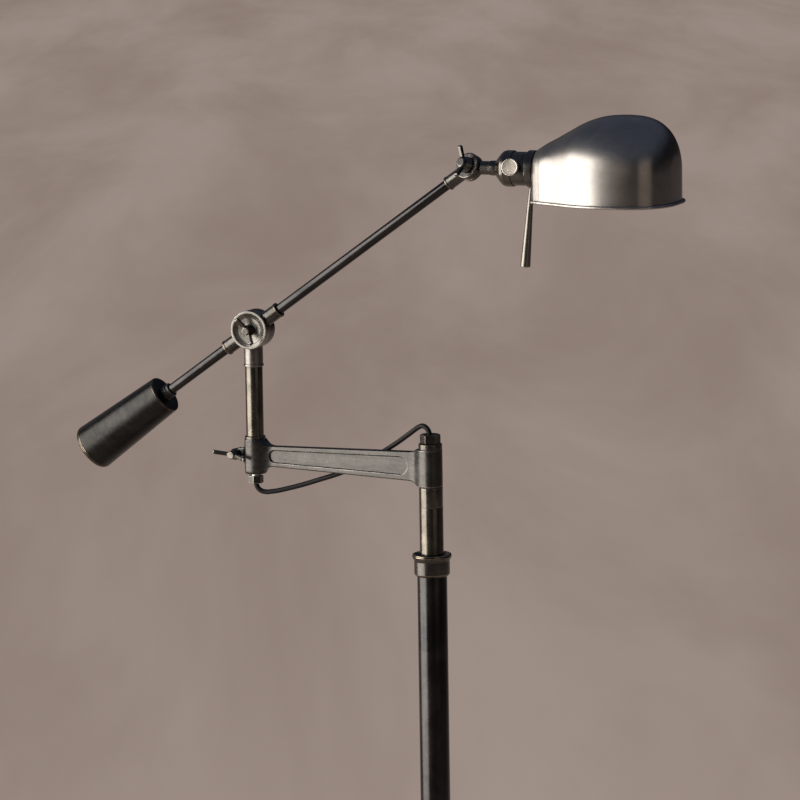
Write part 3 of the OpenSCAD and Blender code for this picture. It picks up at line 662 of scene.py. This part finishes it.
def hexnut(af, h, edge=0.25, hole=3.1, hole_lo=-5.0):
    ap = af / 2

    def fn(x, y, z):
        d = None
        for i in range(6):
            a = math.radians(30 + 60 * i)
            e = x * math.cos(a) + y * math.sin(a) - ap
            d = e if d is None else smax(d, e, edge)
        r = np.hypot(x, y)
        d = smax(d, np.maximum(z - h, -z), edge)
        s = math.hypot(2.0, 1.1)
        d = smax(d, ((r - (ap - 0.2)) * 1.1 + (z - h) * 2.0) / s, edge)
        d = smax(d, ((r - (ap - 0.2)) * 1.1 - z * 2.0) / s, edge)
        return smax(d, hole - r, 0.15)

    return fn


implicit("top_gland_nut", hexnut(19.05, 9.9, 0.25, 4.3), (-11.2, -11.2, 0), (11.2, 11.2, 9.9), 0.3,
         T(0, 0, Z_NUT) @ RZ(22), "top_cord_nut")

# ---------------------------------------------------------------------------
# Swing arm casting (local x along the arm, local +y towards the pocket's front)
# ---------------------------------------------------------------------------


def arm_fn(x, y, z):
    w = z - Z_WEB
    rc = np.hypot(x, y)
    rp = np.hypot(x - ARM_LEN, y)
    col = cyl(rc, z, UR, Z_ARM0, Z_ARM1, 0.5)
    boss = cyl(rp, z, 11.55, Z_PB0, Z_PB1, 0.5)
    # rounded lower end of the post boss
    boss = smax(boss, np.hypot(np.maximum(rp - 6.2, 0), np.minimum(z - (Z_PB0 + 5.5), 0)) - 5.45, 0.6)
    side = convex(x, w, [(0, -16.4), (ARM_LEN, -10.9), (ARM_LEN, 10.3), (0, 16.2)])
    web = smax(side, np.abs(y) - 5.0, 1.6)
    lug2 = capsule2(x, w, (ARM_LEN + 2, 0), (ARM_LEN + 21.5, 0), 11.6, 6.2)
    lug = smax(lug2, np.abs(y) - 6.0, 1.4)
    lug = np.maximum(lug, ARM_LEN - x)
    d = smin(col, web, 12.0)
    d = smin(d, smin(boss, lug, 2.5), 13.5)
    pocket = capsule2(x, w, (35.5, 0), (ARM_LEN - 26.5, 0), 9.5, 6.7)
    for s in (1, -1):
        d = smax(d, -smax(pocket, (5.0 - 2.0) - s * y, 0.8), 0.9)
    d = smax(d, np.maximum(Z_ARM0 - z, z - Z_ARM1), 0.4)
    d = smax(d, 9.5 - rc, 0.2)
    bore = np.maximum((9.595) - rp, (Z_PB0 + 7.5) - z)
    bore = np.maximum(9.595 - rp, -(z - (Z_PB0 + 7.5)))
    d = smax(d, -np.maximum(rp - 9.595, (Z_PB0 + 7.5) - z), 0.3)
    d = smax(d, 5.08 - rp, 0.2)
    slot = np.maximum(np.abs(y) - 0.8, np.maximum(ARM_LEN + 5 - x, np.abs(w) - 14.5))
    d = smax(d, -slot, 0.25)
    rs = np.hypot(x - (ARM_LEN + 21.5), w)
    return smax(d, 3.08 - rs, 0.25)


implicit("swing_arm_casting", arm_fn, (-13, -13, Z_PB0), (ARM_LEN + 28, 13, Z_ARM1), 0.62,
         ARM, "swing_arm")


def wing_fn(span, r0, r1, h, shank_r, shank_l):
    tip = (span / 2 - 2.3, h + 2.6)

    def fn(x, y, z):
        r = np.hypot(x, y)
        prof = np.interp(z, [0, 1.2, h * 0.3, h * 0.62, h - 1.2, h], [r0, r0, r0 * 0.6 + r1 * 0.4, r1, r1, r1 - 0.3])
        hub = smax((r - prof) * 0.85, np.maximum(-z, z - h), 0.9)
        d2 = capsule2(np.abs(x), z, (2.4, h * 0.5), tip, 2.0, 2.3)
        wing = smax(d2, np.abs(y) - 2.1, 1.1)
        d = smin(hub, wing, 1.6)
        shank = cyl(r, z, shank_r, -shank_l, 1.0, 0.5)
        return np.minimum(d, shank)

    lo = (-span / 2 - 0.3, -max(r0, 3) - 0.5, -shank_l)
    hi = (span / 2 + 0.3, max(r0, 3) + 0.5, h + 5.8)
    return fn, lo, hi


f, lo, hi = wing_fn(42, 6.4, 4.4, 11, 3, 11.5)
implicit("arm_thumb_screw", f, lo, hi, 0.33,
         ARM @ T(ARM_LEN + 21.5, 6.3, Z_WEB) @ RX(-90) @ RZ(-10), "arm_clamp_screw", "screw_dark")

# ---------------------------------------------------------------------------
# Post and boom pivot
# ---------------------------------------------------------------------------
PR = 9.525
lathe("post_tube_drawn", ring(PR, PR - 1.6, Z_PB0 + 7.8, PIVOT_Z - 22, 0.15), POST, "post_tube", material="mast_tube")
lathe("post_collar_turned", [
    (PR, Z_PB1 + 0.3), (10.9, Z_PB1 + 0.3, 0.3), (11.3, Z_PB1 + 0.8, 0.3), (11.3, Z_PB1 + 3, 0.6),
    (10.4, Z_PB1 + 4.1, 0.4), (PR, Z_PB1 + 4.1)], POST, "post_collar")
implicit("post_gland_nut", hexnut(14.3, 8.3, 0.22, 3.4), (-8.5, -8.5, 0), (8.5, 8.5, 8.3), 0.27,
         POST @ T(0, 0, Z_PB0 - 8.6) @ RZ(33), "post_cord_nut")


def front_fn(x, y, z):
    t = -y
    r = np.hypot(x, z)
    rp = np.hypot(x, y)
    disc = cyl(r, t, PIVOT_R, 0.15, 12.5, 0.7)
    floor = np.interp(r, [0, 8, PIVOT_R - 7.6, PIVOT_R - 5.6, PIVOT_R - 4.8, PIVOT_R - 3.7, PIVOT_R - 2.8, PIVOT_R], [9.6, 9.6, 10.1, 10.7, 11.5, 11.9, 12.6, 16])
    dish = (floor - t) * 0.8
    stub = np.minimum(cyl(rp, z, 10.25, -40.4, -4, 0.3), cyl(rp, z, 10.9, -40.4, -37.4, 0.9))
    saddle = np.maximum(r - (PIVOT_R + 0.3), -(y + 0.15))
    stub = smax(stub, -saddle, 0.2)
    d = smin(disc, stub, 0.7)
    d = smax(d, -dish, 0.6)
    d = smax(d, -np.maximum(rp - PR, z + 22), 0.15)
    d = smax(d, 4.08 - r, 0.2)
    return np.maximum(d, -np.maximum(r - 13.2, np.abs(y) - 0.55))


implicit("pivot_front_half", front_fn, (-21, -12.5, -40.4), (21, 11, 21), 0.27,
         PIVOT, "pivot_front_disc")


def rear_fn(x, y, z):
    # local frame: z along the boom, y away from the front
    r = np.hypot(x, z)
    rb = np.hypot(x, y)
    disc = cyl(r, y, PIVOT_R, 0.15, 12.5, 1.4)
    za = np.abs(z)
    stub = np.minimum(cyl(rb, za, 7.95, 6, 38.4, 0.3), cyl(rb, za, 8.5, 35.4, 38.4, 0.9))
    saddle = np.maximum(r - (PIVOT_R + 0.3), y - 0.15)
    stub = smax(stub, -saddle, 0.2)
    d = smin(disc, stub, 0.7)
    d = smax(d, -np.maximum(rb - np.where(z > 0, BR + 0.06, BR), 22 - za), 0.15)
    d = smax(d, 4.08 - r, 0.2)
    return np.maximum(d, -np.maximum(r - 13.2, np.abs(y) - 0.55))


implicit("pivot_rear_half", rear_fn, (-21, -8.6, -38.4), (21, 12.5, 38.4), 0.42,
         BOOM, "pivot_rear_disc")
f, lo, hi = wing_fn(33.5, 6.2, 4.4, 11.5, 4, 21.5)
implicit("pivot_thumb_screw", f, lo, hi, 0.33,
         PIVOT @ T(0, -9.9, 0) @ RX(90) @ RZ(-57), "pivot_wing_screw", "screw_dark")

# ---------------------------------------------------------------------------
# Boom and counterweight
# ---------------------------------------------------------------------------
REAR = BOOM @ RX(180)
lathe("boom_rear_rod", ring(BR, BR - 1.35, 22, WEIGHT_AT + 60, 0.2), REAR, "boom_rear_tube", n=72)
lathe("boom_front_rod", ring(BR, BR - 1.35, 22.3, BOOM_FRONT - 16, 0.2), BOOM, "boom_front_tube", n=72)
lathe("weight_collar_ribbed", [
    (BR, 0), (7.2, 0, 0.4), (8, 0.8, 0.4), (8, 2.7, 0.4), (7, 3.3, 0.3), (7, 4.1, 0.3),
    (8, 4.7, 0.4), (8, 6.5, 0.4), (7, 7.1, 0.3), (7, 7.9, 0.3), (8, 8.5, 0.4), (8, 10, 0.2), (BR, 10)],
    REAR @ T(0, 0, WEIGHT_AT - 10), "weight_collar", n=72)
a, b, L = WEIGHT_D[0] / 2, WEIGHT_D[1] / 2, WEIGHT_L
weight = lathe("counterweight_turned", [
    (0, 0.3), (BR, 0.3, 0.1), (BR, 0, 0.05), (a - 1.4, 0, 0.5), (a - 0.4, 0.4, 0.5), (a, 1.4, 0.8),
    (b - 0.2, L - 4.6, 1.5), (b - 0.5, L - 2.8, 1.5), (b - 1.5, L - 1.3, 1.5), (b - 3, L - 0.4, 1.5),
    (b - 5, L, 1), (0, L)], REAR @ T(0, 0, WEIGHT_AT), "counterweight", n=128, material="counterweight")

# ---------------------------------------------------------------------------
# Head knuckle
# ---------------------------------------------------------------------------
KR = KNUCKLE_R


def kfront_fn(x, y, z):
    r = np.hypot(x, z)
    rb = np.hypot(x, y)
    disc = cyl(r, -y, KR, 0.15, 7.0, 1.3)
    stub = np.minimum(cyl(rb, -z, 7.3, 4, 31, 0.3), cyl(rb, -z, 7.8, 28.4, 31, 0.8))
    saddle = np.maximum(r - (KR + 0.3), -(y + 0.15))
    stub = smax(stub, -saddle, 0.2)
    d = smin(disc, stub, 0.8)
    d = smax(d, -np.maximum(rb - BR, z + 16), 0.15)
    d = smax(d, 3.08 - r, 0.2)
    return np.maximum(d, -np.maximum(r - 9.2, np.abs(y) - 0.55))


implicit("knuckle_front_half", kfront_fn, (-14.5, -8, -31), (14.5, 8, 14.5), 0.34,
         KNUCKLE, "knuckle_front", "head_turned")
TOH = np.array((KNUCKLE.inverted() @ HEAD).to_3x3().inverted())


def krear_fn(x, y, z):
    # knuckle frame; the neck follows the head frame's own axis
    r = np.hypot(x, z)
    disc = cyl(r, y, KR, 0.15, 7.0, 0.5)
    disc = smax(disc, np.hypot(np.maximum(r - (KR - 4.4), 0) , np.maximum(y - 2.6, 0)) - 4.4, 0.3)
    hx = TOH[0][0] * x + TOH[0][1] * y + TOH[0][2] * z
    hy = TOH[1][0] * x + TOH[1][1] * y + TOH[1][2] * z
    hz = TOH[2][0] * x + TOH[2][1] * y + TOH[2][2] * z
    rn = np.hypot(hx, hy)
    neck = np.minimum(cyl(rn, hz, 7.2, 3, 23.8, 0.25), cyl(rn, hz, 7.6, 22.5, 23.8, 0.4))
    saddle = np.maximum(r - (KR + 0.3), y - 0.15)
    neck = smax(neck, -saddle, 0.2)
    d = smin(disc, neck, 1.0)
    d = smax(d, -np.maximum(r - 3.08, np.abs(y) - 6), 0.2)
    d = smax(d, -np.maximum(rn - 4, 13 - hz), 0.15)
    return np.maximum(d, -np.maximum(r - 9.2, np.abs(y) - 0.55))


lohi = [KNUCKLE.inverted() @ (HEAD @ Vector(c)) for c in
        [(sx * 7.7, sy * 7.7, s) for sx in (-1, 1) for sy in (-1, 1) for s in (0, 23.9)]]
lo = [min(-14.5 if i != 1 else -7.9, min(v[i] for v in lohi)) for i in range(3)]
hi = [max(14.5 if i != 1 else 7.2, max(v[i] for v in lohi)) for i in range(3)]
implicit("knuckle_rear_half", krear_fn, lo, hi, 0.34, KNUCKLE, "knuckle_rear", "head_turned")
f, lo, hi = wing_fn(34.5, 9, 5.2, 10.5, 3, 12.9)
implicit("knuckle_thumb_screw", f, lo, hi, 0.33,
         KNUCKLE @ T(0, -7.5, 0) @ RX(90) @ RZ(-29), "knuckle_wing_screw", "head_turned")

# ---------------------------------------------------------------------------
# Lamp head
# ---------------------------------------------------------------------------
S = SOCKET_R
lathe("swivel_flange", [
    (4.07, 24.1), (7.4, 24.1, 0.3), (7.9, 24.6, 0.4), (7.9, 29.2, 0.8), (7.4, 30.8, 0.3),
    (6, 30.8, 0.1), (6, 35), (4.07, 35)], HEAD, "head_swivel", material="head_turned")
lathe("socket_cup_spun", [
    (6, 30.8), (9.2, 30.8, 0.4), (10.6, 31.7, 1.5), (16.6, 37, 2), (18.2, 38.9, 3), (19.1, 41.6, 2.5),
    (19.1, 49, 0.5), (18.6, 49.8, 0.4), (S, 49.8, 0.1), (S, 44), (15.8, 44), (15.8, 40.6),
    (10.8, 36), (9.6, 35), (6, 35)], HEAD, "socket_cup", material="head_turned")
housing = lathe("socket_housing_drawn", [
    (S - 1.4, 44), (S, 44), (S, 66, 0.3), (15.4, 66, 0.1), (15.4, 80), (14.2, 80), (14.2, 64.5),
    (S - 1.4, 64.5)], HEAD, "socket_housing", material="head_turned")
lathe("shade_ring_turned", [
    (15.4, 66), (19, 66, 0.3), (19.6, 66.6, 0.4), (19.6, 73.4, 0.4), (19, 74.1, 0.3), (15.4, 74.1)], HEAD, "shade_ring", material="head_turned")
lathe("shade_retainer_ring", ring(16.7, 15.4, 75.7, 79.2), HEAD, "shade_retainer", material="head_turned")
lathe("dimmer_knob_turned", [
    (0, 7), (3, 7), (3, 20), (8.9, 20, 0.2), (9.2, 20.4, 0.2), (9.2, 24.6, 0.3), (8.8, 25.2, 0.4),
    (8.0, 25.2, 0.2), (7.6, 25.0, 0.2), (0, 25.0)], DIMMER, "dimmer_knob")
lathe("shade_handle", [
    (0, 17.8), (1.9, 17.8), (1.9, 20.4), (2.4, 20.5, 0.2), (2.6, 24, 4), (5.3, 17.5 + HANDLE_L, 0.3),
    (5.3, 18.9 + HANDLE_L, 0.4), (4.8, 19.4 + HANDLE_L, 0.3), (0, 19.4 + HANDLE_L)], HANDLE, "handle", n=64, material="handle_steel")
bulb_out = catmull([(13.1, 87), (14, 92), (18, 102), (24, 113), (28.6, 124), (30, 137), (28, 149), (22.5, 158.5), (13, 165), (0, 167.3)], 4)
bulb_in = [(0, p[1] - 1) if p[0] == 0 else (p[0] - 0.9, p[1] - (p[1] - 137) / 30 if p[1] > 137 else p[1]) for p in bulb_out]
lathe("bulb_envelope", [(p[0], p[1], 0) for p in bulb_out] + [(p[0], p[1], 0) for p in bulb_in[::-1]], HEAD, "bulb_glass", default=0)
lathe("bulb_base_cap", [
    (0, 64.2), (5, 64.2, 0.3), (10, 67, 0.6), (13.1, 68, 0.6), (13.1, 71, 0.5), (12.7, 72, 0.5), (13.1, 73, 0.5),
    (12.7, 75, 0.5), (13.1, 76, 0.5), (12.7, 78, 0.5), (13.1, 79, 0.5), (13.1, 87), (12.3, 87), (12.3, 68.8), (9.7, 67.9),
    (4.8, 65.2), (0, 65.2)], HEAD, "bulb_cap")

# --- shade -----------------------------------------------------------------
SHADE = [
    (74.2, 16.4), (74.9, 18.4), (76.8, 20.6), (80, 22.8), (84, 25.3), (88.5, 28), (100.2, 34),
    (112.5, 40.8), (127.5, 48.9), (141.6, 54.3), (155.6, 57.3), (172.8, 58.4), (189.1, 57.5),
    (200.1, 54.9), (208.3, 50.8), (215.3, 44.8), (220.2, 38), (223.5, 30.8), (225.6, 22.8),
    (226.8, 15), (227.3, 0)]


def shade_surface():
    out = np.array(catmull(SHADE, 6))
    t = np.gradient(out, axis=0)
    t[-1] = (0, -1)
    nrm = np.stack([t[:, 1], -t[:, 0]], 1)
    nrm /= np.linalg.norm(nrm, axis=1)[:, None]
    inn = out + nrm * SHADE_T
    inn[:, 0] = np.maximum(inn[:, 0], SHADE[0][0] + SHADE_T)
    inn[:, 1] = np.maximum(inn[:, 1], 0)
    inn[-1] = (SHADE[-1][0] - SHADE_T, 0)
    return out, inn


def build_shade():
    """Shell: half a solid of revolution over the axis, a straight skirt below it,
    and a flat back with a round hole. Head frame turned so that
    x runs along the axis, y across and z up."""
    out, inn = shade_surface()
    bm = bmesh.new()
    NA, NS = 72, 8
    zs = np.linspace(-SKIRT - 1.2, 0, NS + 1)[:-1]

    def section(s, r):
        """Points from the lower edge at -y over the top to the lower edge at +y."""
        pts = [(s, -r, z) for z in zs]
        pts += [(s, -r * math.cos(math.pi * i / NA), r * math.sin(math.pi * i / NA)) for i in range(NA + 1)]
        pts += [(s, r, z) for z in zs[::-1]]
        return pts

    def skin(curve):
        rows = []
        for s, r in curve[:-1]:
            rows.append([bm.verts.new(p) for p in section(s, r)])
        s = curve[-1][0]
        n = len(zs)
        tip = [bm.verts.new((s, 0, z)) for z in zs] + [bm.verts.new((s, 0, 0))]
        last = tip[:n] + [tip[n]] * (NA + 1) + tip[:n][::-1]
        rows.append(last)
        for a, b in zip(rows[:-1], rows[1:], strict=True):
            for i in range(len(a) - 1):
                q = [a[i], a[i + 1], b[i + 1], b[i]]
                u = []
                for v in q:
                    if v not in u:
                        u.append(v)
                if len(u) > 2:
                    bm.faces.new(u)
        return rows

    ro = skin(out)
    ri = skin(inn)
    # lower edge between the two skins
    n = len(zs)
    for side in (0, -1):
        for k in range(len(ro) - 1):
            q = [ro[k][side], ro[k + 1][side], ri[k + 1][side], ri[k][side]]
            bm.faces.new(q)
    # back wall, outer and inner face, with a round hole
    hole = 15.5

    def back(row, x):
        """From the section's outline in to a ring of the hole's radius."""
        m_ = []
        for v in row:
            a = math.atan2(v.co.z, v.co.y)
            m_.append(bm.verts.new((x, hole * math.cos(a), hole * math.sin(a))))
        for i in range(len(row) - 1):
            bm.faces.new([row[i], m_[i], m_[i + 1], row[i + 1]])
        return m_

    ho = back(ro[0], SHADE[0][0])
    hi_ = back(ri[0], SHADE[0][0] + SHADE_T)
    for i in range(len(ho) - 1):
        bm.faces.new([ho[i], hi_[i], hi_[i + 1], ho[i + 1]])

    # the open part of the back wall below the hole
    def under(row, ringv, x):
        a, b = row[0], row[-1]
        ra, rb = ringv[0], ringv[-1]
        k = 24
        aa = math.atan2(ra.co.z, ra.co.y)
        ab = math.atan2(rb.co.z, rb.co.y)
        if aa < ab:
            pass
        arc = [ra]
        low = [a]
        for i in range(1, k):
            t = i / k
            ang = aa + (ab - aa) * t if aa < ab else aa + (ab - aa) * t
            arc.append(bm.verts.new((x, hole * math.cos(ang), hole * math.sin(ang))))
            low.append(bm.verts.new((x, a.co.y + (b.co.y - a.co.y) * t, a.co.z)))
        arc.append(rb)
        low.append(b)
        for i in range(k):
            bm.faces.new([arc[i], low[i], low[i + 1], arc[i + 1]])
        return arc, low

    ao, lo_ = under(ro[0], ho, SHADE[0][0])
    ai, li_ = under(ri[0], hi_, SHADE[0][0] + SHADE_T)
    for i in range(24):
        bm.faces.new([ao[i], ao[i + 1], ai[i + 1], ai[i]])
        bm.faces.new([lo_[i], lo_[i + 1], li_[i + 1], li_[i]])
    bmesh.ops.recalc_face_normals(bm, faces=bm.faces)
    for v in bm.verts:
        v.co *= MM
    me = bpy.data.meshes.new("shade_shell")
    bm.to_mesh(me)
    bm.free()
    w = me.attributes.new("wear", "FLOAT", "POINT")
    me.shade_smooth()
    return bpy.data.objects.new("shade_shell", me)


def build_rim():
    """Rolled bead along the skirt's lower edge, closed round the back."""
    out, inn = shade_surface()
    left = [(x, -y) for x, y in out]
    rightp = [(x, y) for x, y in out[:-1]][::-1]
    back_n = 10
    x0 = SHADE[0][0]
    r0 = SHADE[0][1]
    backp = [(x0, r0 - 2 * r0 * i / back_n) for i in range(1, back_n)]
    path = np.array(left + rightp + backp)
    # even spacing
    cl = np.vstack([path, path[:1]])
    run_ = np.concatenate([[0], np.cumsum(np.linalg.norm(np.diff(cl, axis=0), axis=1))])
    N = 360
    tt = np.linspace(0, run_[-1], N, endpoint=False)
    path = np.stack([np.interp(tt, run_, cl[:, i]) for i in range(2)], 1)
    tang = np.roll(path, -3, axis=0) - np.roll(path, 3, axis=0)
    tang /= np.linalg.norm(tang, axis=1)[:, None]
    nrm = np.stack([tang[:, 1], -tang[:, 0]], 1)
    cen = path.mean(0)
    if ((path - cen) * nrm).sum() < 0:
        nrm = -nrm
    z0 = -SKIRT - 3.0
    sec = fillet([(-SHADE_T, z0, 0.4), (3.35, z0, 1.45), (3.35, z0 + 3.2, 1.45), (0.2, z0 + 3.2, 0.5), (-SHADE_T, z0 + 3.2, 0.1)], True, 8)
    verts, wear = [], []
    for i in range(N):
        for o, z, w in sec:
            p = path[i] + nrm[i] * o
            verts.append((max(p[0], x0), p[1], z))
            wear.append(max(0, w) * 0.6)
    k = len(sec)
    faces = []
    for i in range(N):
        for j in range(k):
            a, b_ = i * k + j, i * k + (j + 1) % k
            c, d = ((i + 1) % N) * k + (j + 1) % k, ((i + 1) % N) * k + j
            faces.append((a, b_, c, d))
    ob = mesh_object("shade_rim_bead", verts, faces, wear)
    sharpen(ob)
    return ob


SHADE_M = T(KX, PY, KZ)
shade_ob = place(build_shade(), SHADE_M, "head", "shade_metal", ("shade",))
sharpen(shade_ob, 50)
place(build_rim(), SHADE_M, "head", "shade_metal")

# ---------------------------------------------------------------------------
# Stage and light
# ---------------------------------------------------------------------------


def floor_piece():
    bm = bmesh.new()
    n = 64
    rings_ = [0.0, 1.0, 4.0, 16.0, 60.0]
    prev = None
    for r in rings_:
        if r == 0:
            cur = [bm.verts.new((0, 0, -0.0005))]
        else:
            cur = [bm.verts.new((r * math.cos(2 * math.pi * i / n), r * math.sin(2 * math.pi * i / n), -0.0005)) for i in range(n)]
        if prev is not None:
            for i in range(n):
                j = (i + 1) % n
                if len(prev) == 1:
                    bm.faces.new((prev[0], cur[i], cur[j]))
                else:
                    bm.faces.new((prev[i], cur[i], cur[j], prev[j]))
        prev = cur
    me = bpy.data.meshes.new("floor")
    bm.to_mesh(me)
    bm.free()
    ob = bpy.data.objects.new("floor", me)
    bpy.context.scene.collection.objects.link(ob)
    s = Mat("floor_painted_glow", 0.8, 0.0)

    def along(direction):
        n_ = s.nt.nodes.new("ShaderNodeVectorMath")
        n_.operation = "DOT_PRODUCT"
        s.link(s.co, n_.inputs[0])
        n_.inputs[1].default_value = direction
        return n_.outputs["Value"]

    across, ahead = along((0.927, 0.375, 0.0)), along((0.375, -0.927, 0.0))
    both = s.nt.nodes.new("ShaderNodeCombineXYZ")
    s.link(across, both.inputs[0])
    s.link(s.math("MULTIPLY", ahead, 0.15), both.inputs[1])
    tone = s.ramp(s.noise(1.1, both.outputs[0], 5, 0.6, 0.4), 0.3, 0.7)
    # painted light: the floor glows by emission, a painted pool of light that fades away to the right and towards the
    # front
    painted_light_pool = s.math("MULTIPLY", s.ramp(across, 2.8, 7.0, 1.0, 0.28), s.ramp(ahead, 2.2, 6.0, 1.0, 0.28))
    s.link(s.mix(tone, (0.17, 0.147, 0.126), (0.21, 0.183, 0.158)), s.bsdf.inputs["Base Color"])
    # painted light: the emission colour of the floor's glow, masked by the painted pool below
    lit = s.mix(tone, (0.225, 0.168, 0.138), (0.285, 0.222, 0.190))
    s.link(s.mix(painted_light_pool, (0.0, 0.0, 0.0), lit), s.bsdf.inputs["Emission Color"])
    s.bsdf.inputs["Emission Strength"].default_value = 1.04
    me.materials.append(s.mat)


floor_piece()

world = bpy.data.worlds.new("world")
bpy.context.scene.world = world
world.use_nodes = True
wt = world.node_tree
bg = wt.nodes["Background"]
bg.inputs[1].default_value = 1.0
wtc = wt.nodes.new("ShaderNodeTexCoord")


def lobe(direction, lo, hi):
    """0 to 1 as the ray turns towards the direction."""
    d = wt.nodes.new("ShaderNodeVectorMath")
    d.operation = "DOT_PRODUCT"
    wt.links.new(wtc.outputs["Generated"], d.inputs[0])
    d.inputs[1].default_value = direction
    r = wt.nodes.new("ShaderNodeMapRange")
    r.interpolation_type = "SMOOTHSTEP"
    r.inputs["From Min"].default_value, r.inputs["From Max"].default_value = lo, hi
    wt.links.new(d.outputs["Value"], r.inputs["Value"])
    return r.outputs[0]


def wmix(fac, a, b):
    n = wt.nodes.new("ShaderNodeMix")
    n.data_type = "RGBA"
    wt.links.new(fac, n.inputs[0])
    for k, v in ((6, a), (7, b)):
        if isinstance(v, tuple):
            n.inputs[k].default_value = (*v, 1)
        else:
            wt.links.new(v, n.inputs[k])
    return n.outputs[2]


SIDE = (0.927, 0.375, 0.0)
WALL, SHADOW, CEILING = (0.26, 0.215, 0.18), (0.008, 0.008, 0.010), (0.105, 0.122, 0.170)
room = wmix(lobe(SIDE, -0.55, 0.15), WALL, SHADOW)
room = wmix(lobe((0.0, 0.0, 1.0), 0.15, 0.6), room, CEILING)
wt.links.new(room, bg.inputs[0])


def area(name, loc, target, size, energy, color=(1, 1, 1), size_y=None):
    d = bpy.data.lights.new(name, "AREA")
    d.shape = "RECTANGLE"
    d.size, d.size_y = size, size_y or size
    d.energy = energy
    d.color = color
    ob = bpy.data.objects.new(name, d)
    ob.location = loc
    ob.rotation_mode = "QUATERNION"
    ob.rotation_quaternion = (Vector(target) - Vector(loc)).to_track_quat("-Z", "Y")
    bpy.context.scene.collection.objects.link(ob)
    return ob


MID = (-0.05, 0.0, 1.25)
# one broad warm softbox on the left, low enough to streak the tubes
area("key", (-1.79, -1.175, 1.45), (-0.05, 0.0, 1.40), 2.3, 100, (1.0, 0.93, 0.85), 2.35)
area("fill", (2.35, -1.6, 1.75), MID, 1.9, 4.0, (1.0, 0.82, 0.66), 1.7)

bpy.context.scene.view_settings.view_transform = "Standard"
bpy.context.scene.view_settings.look = "None"
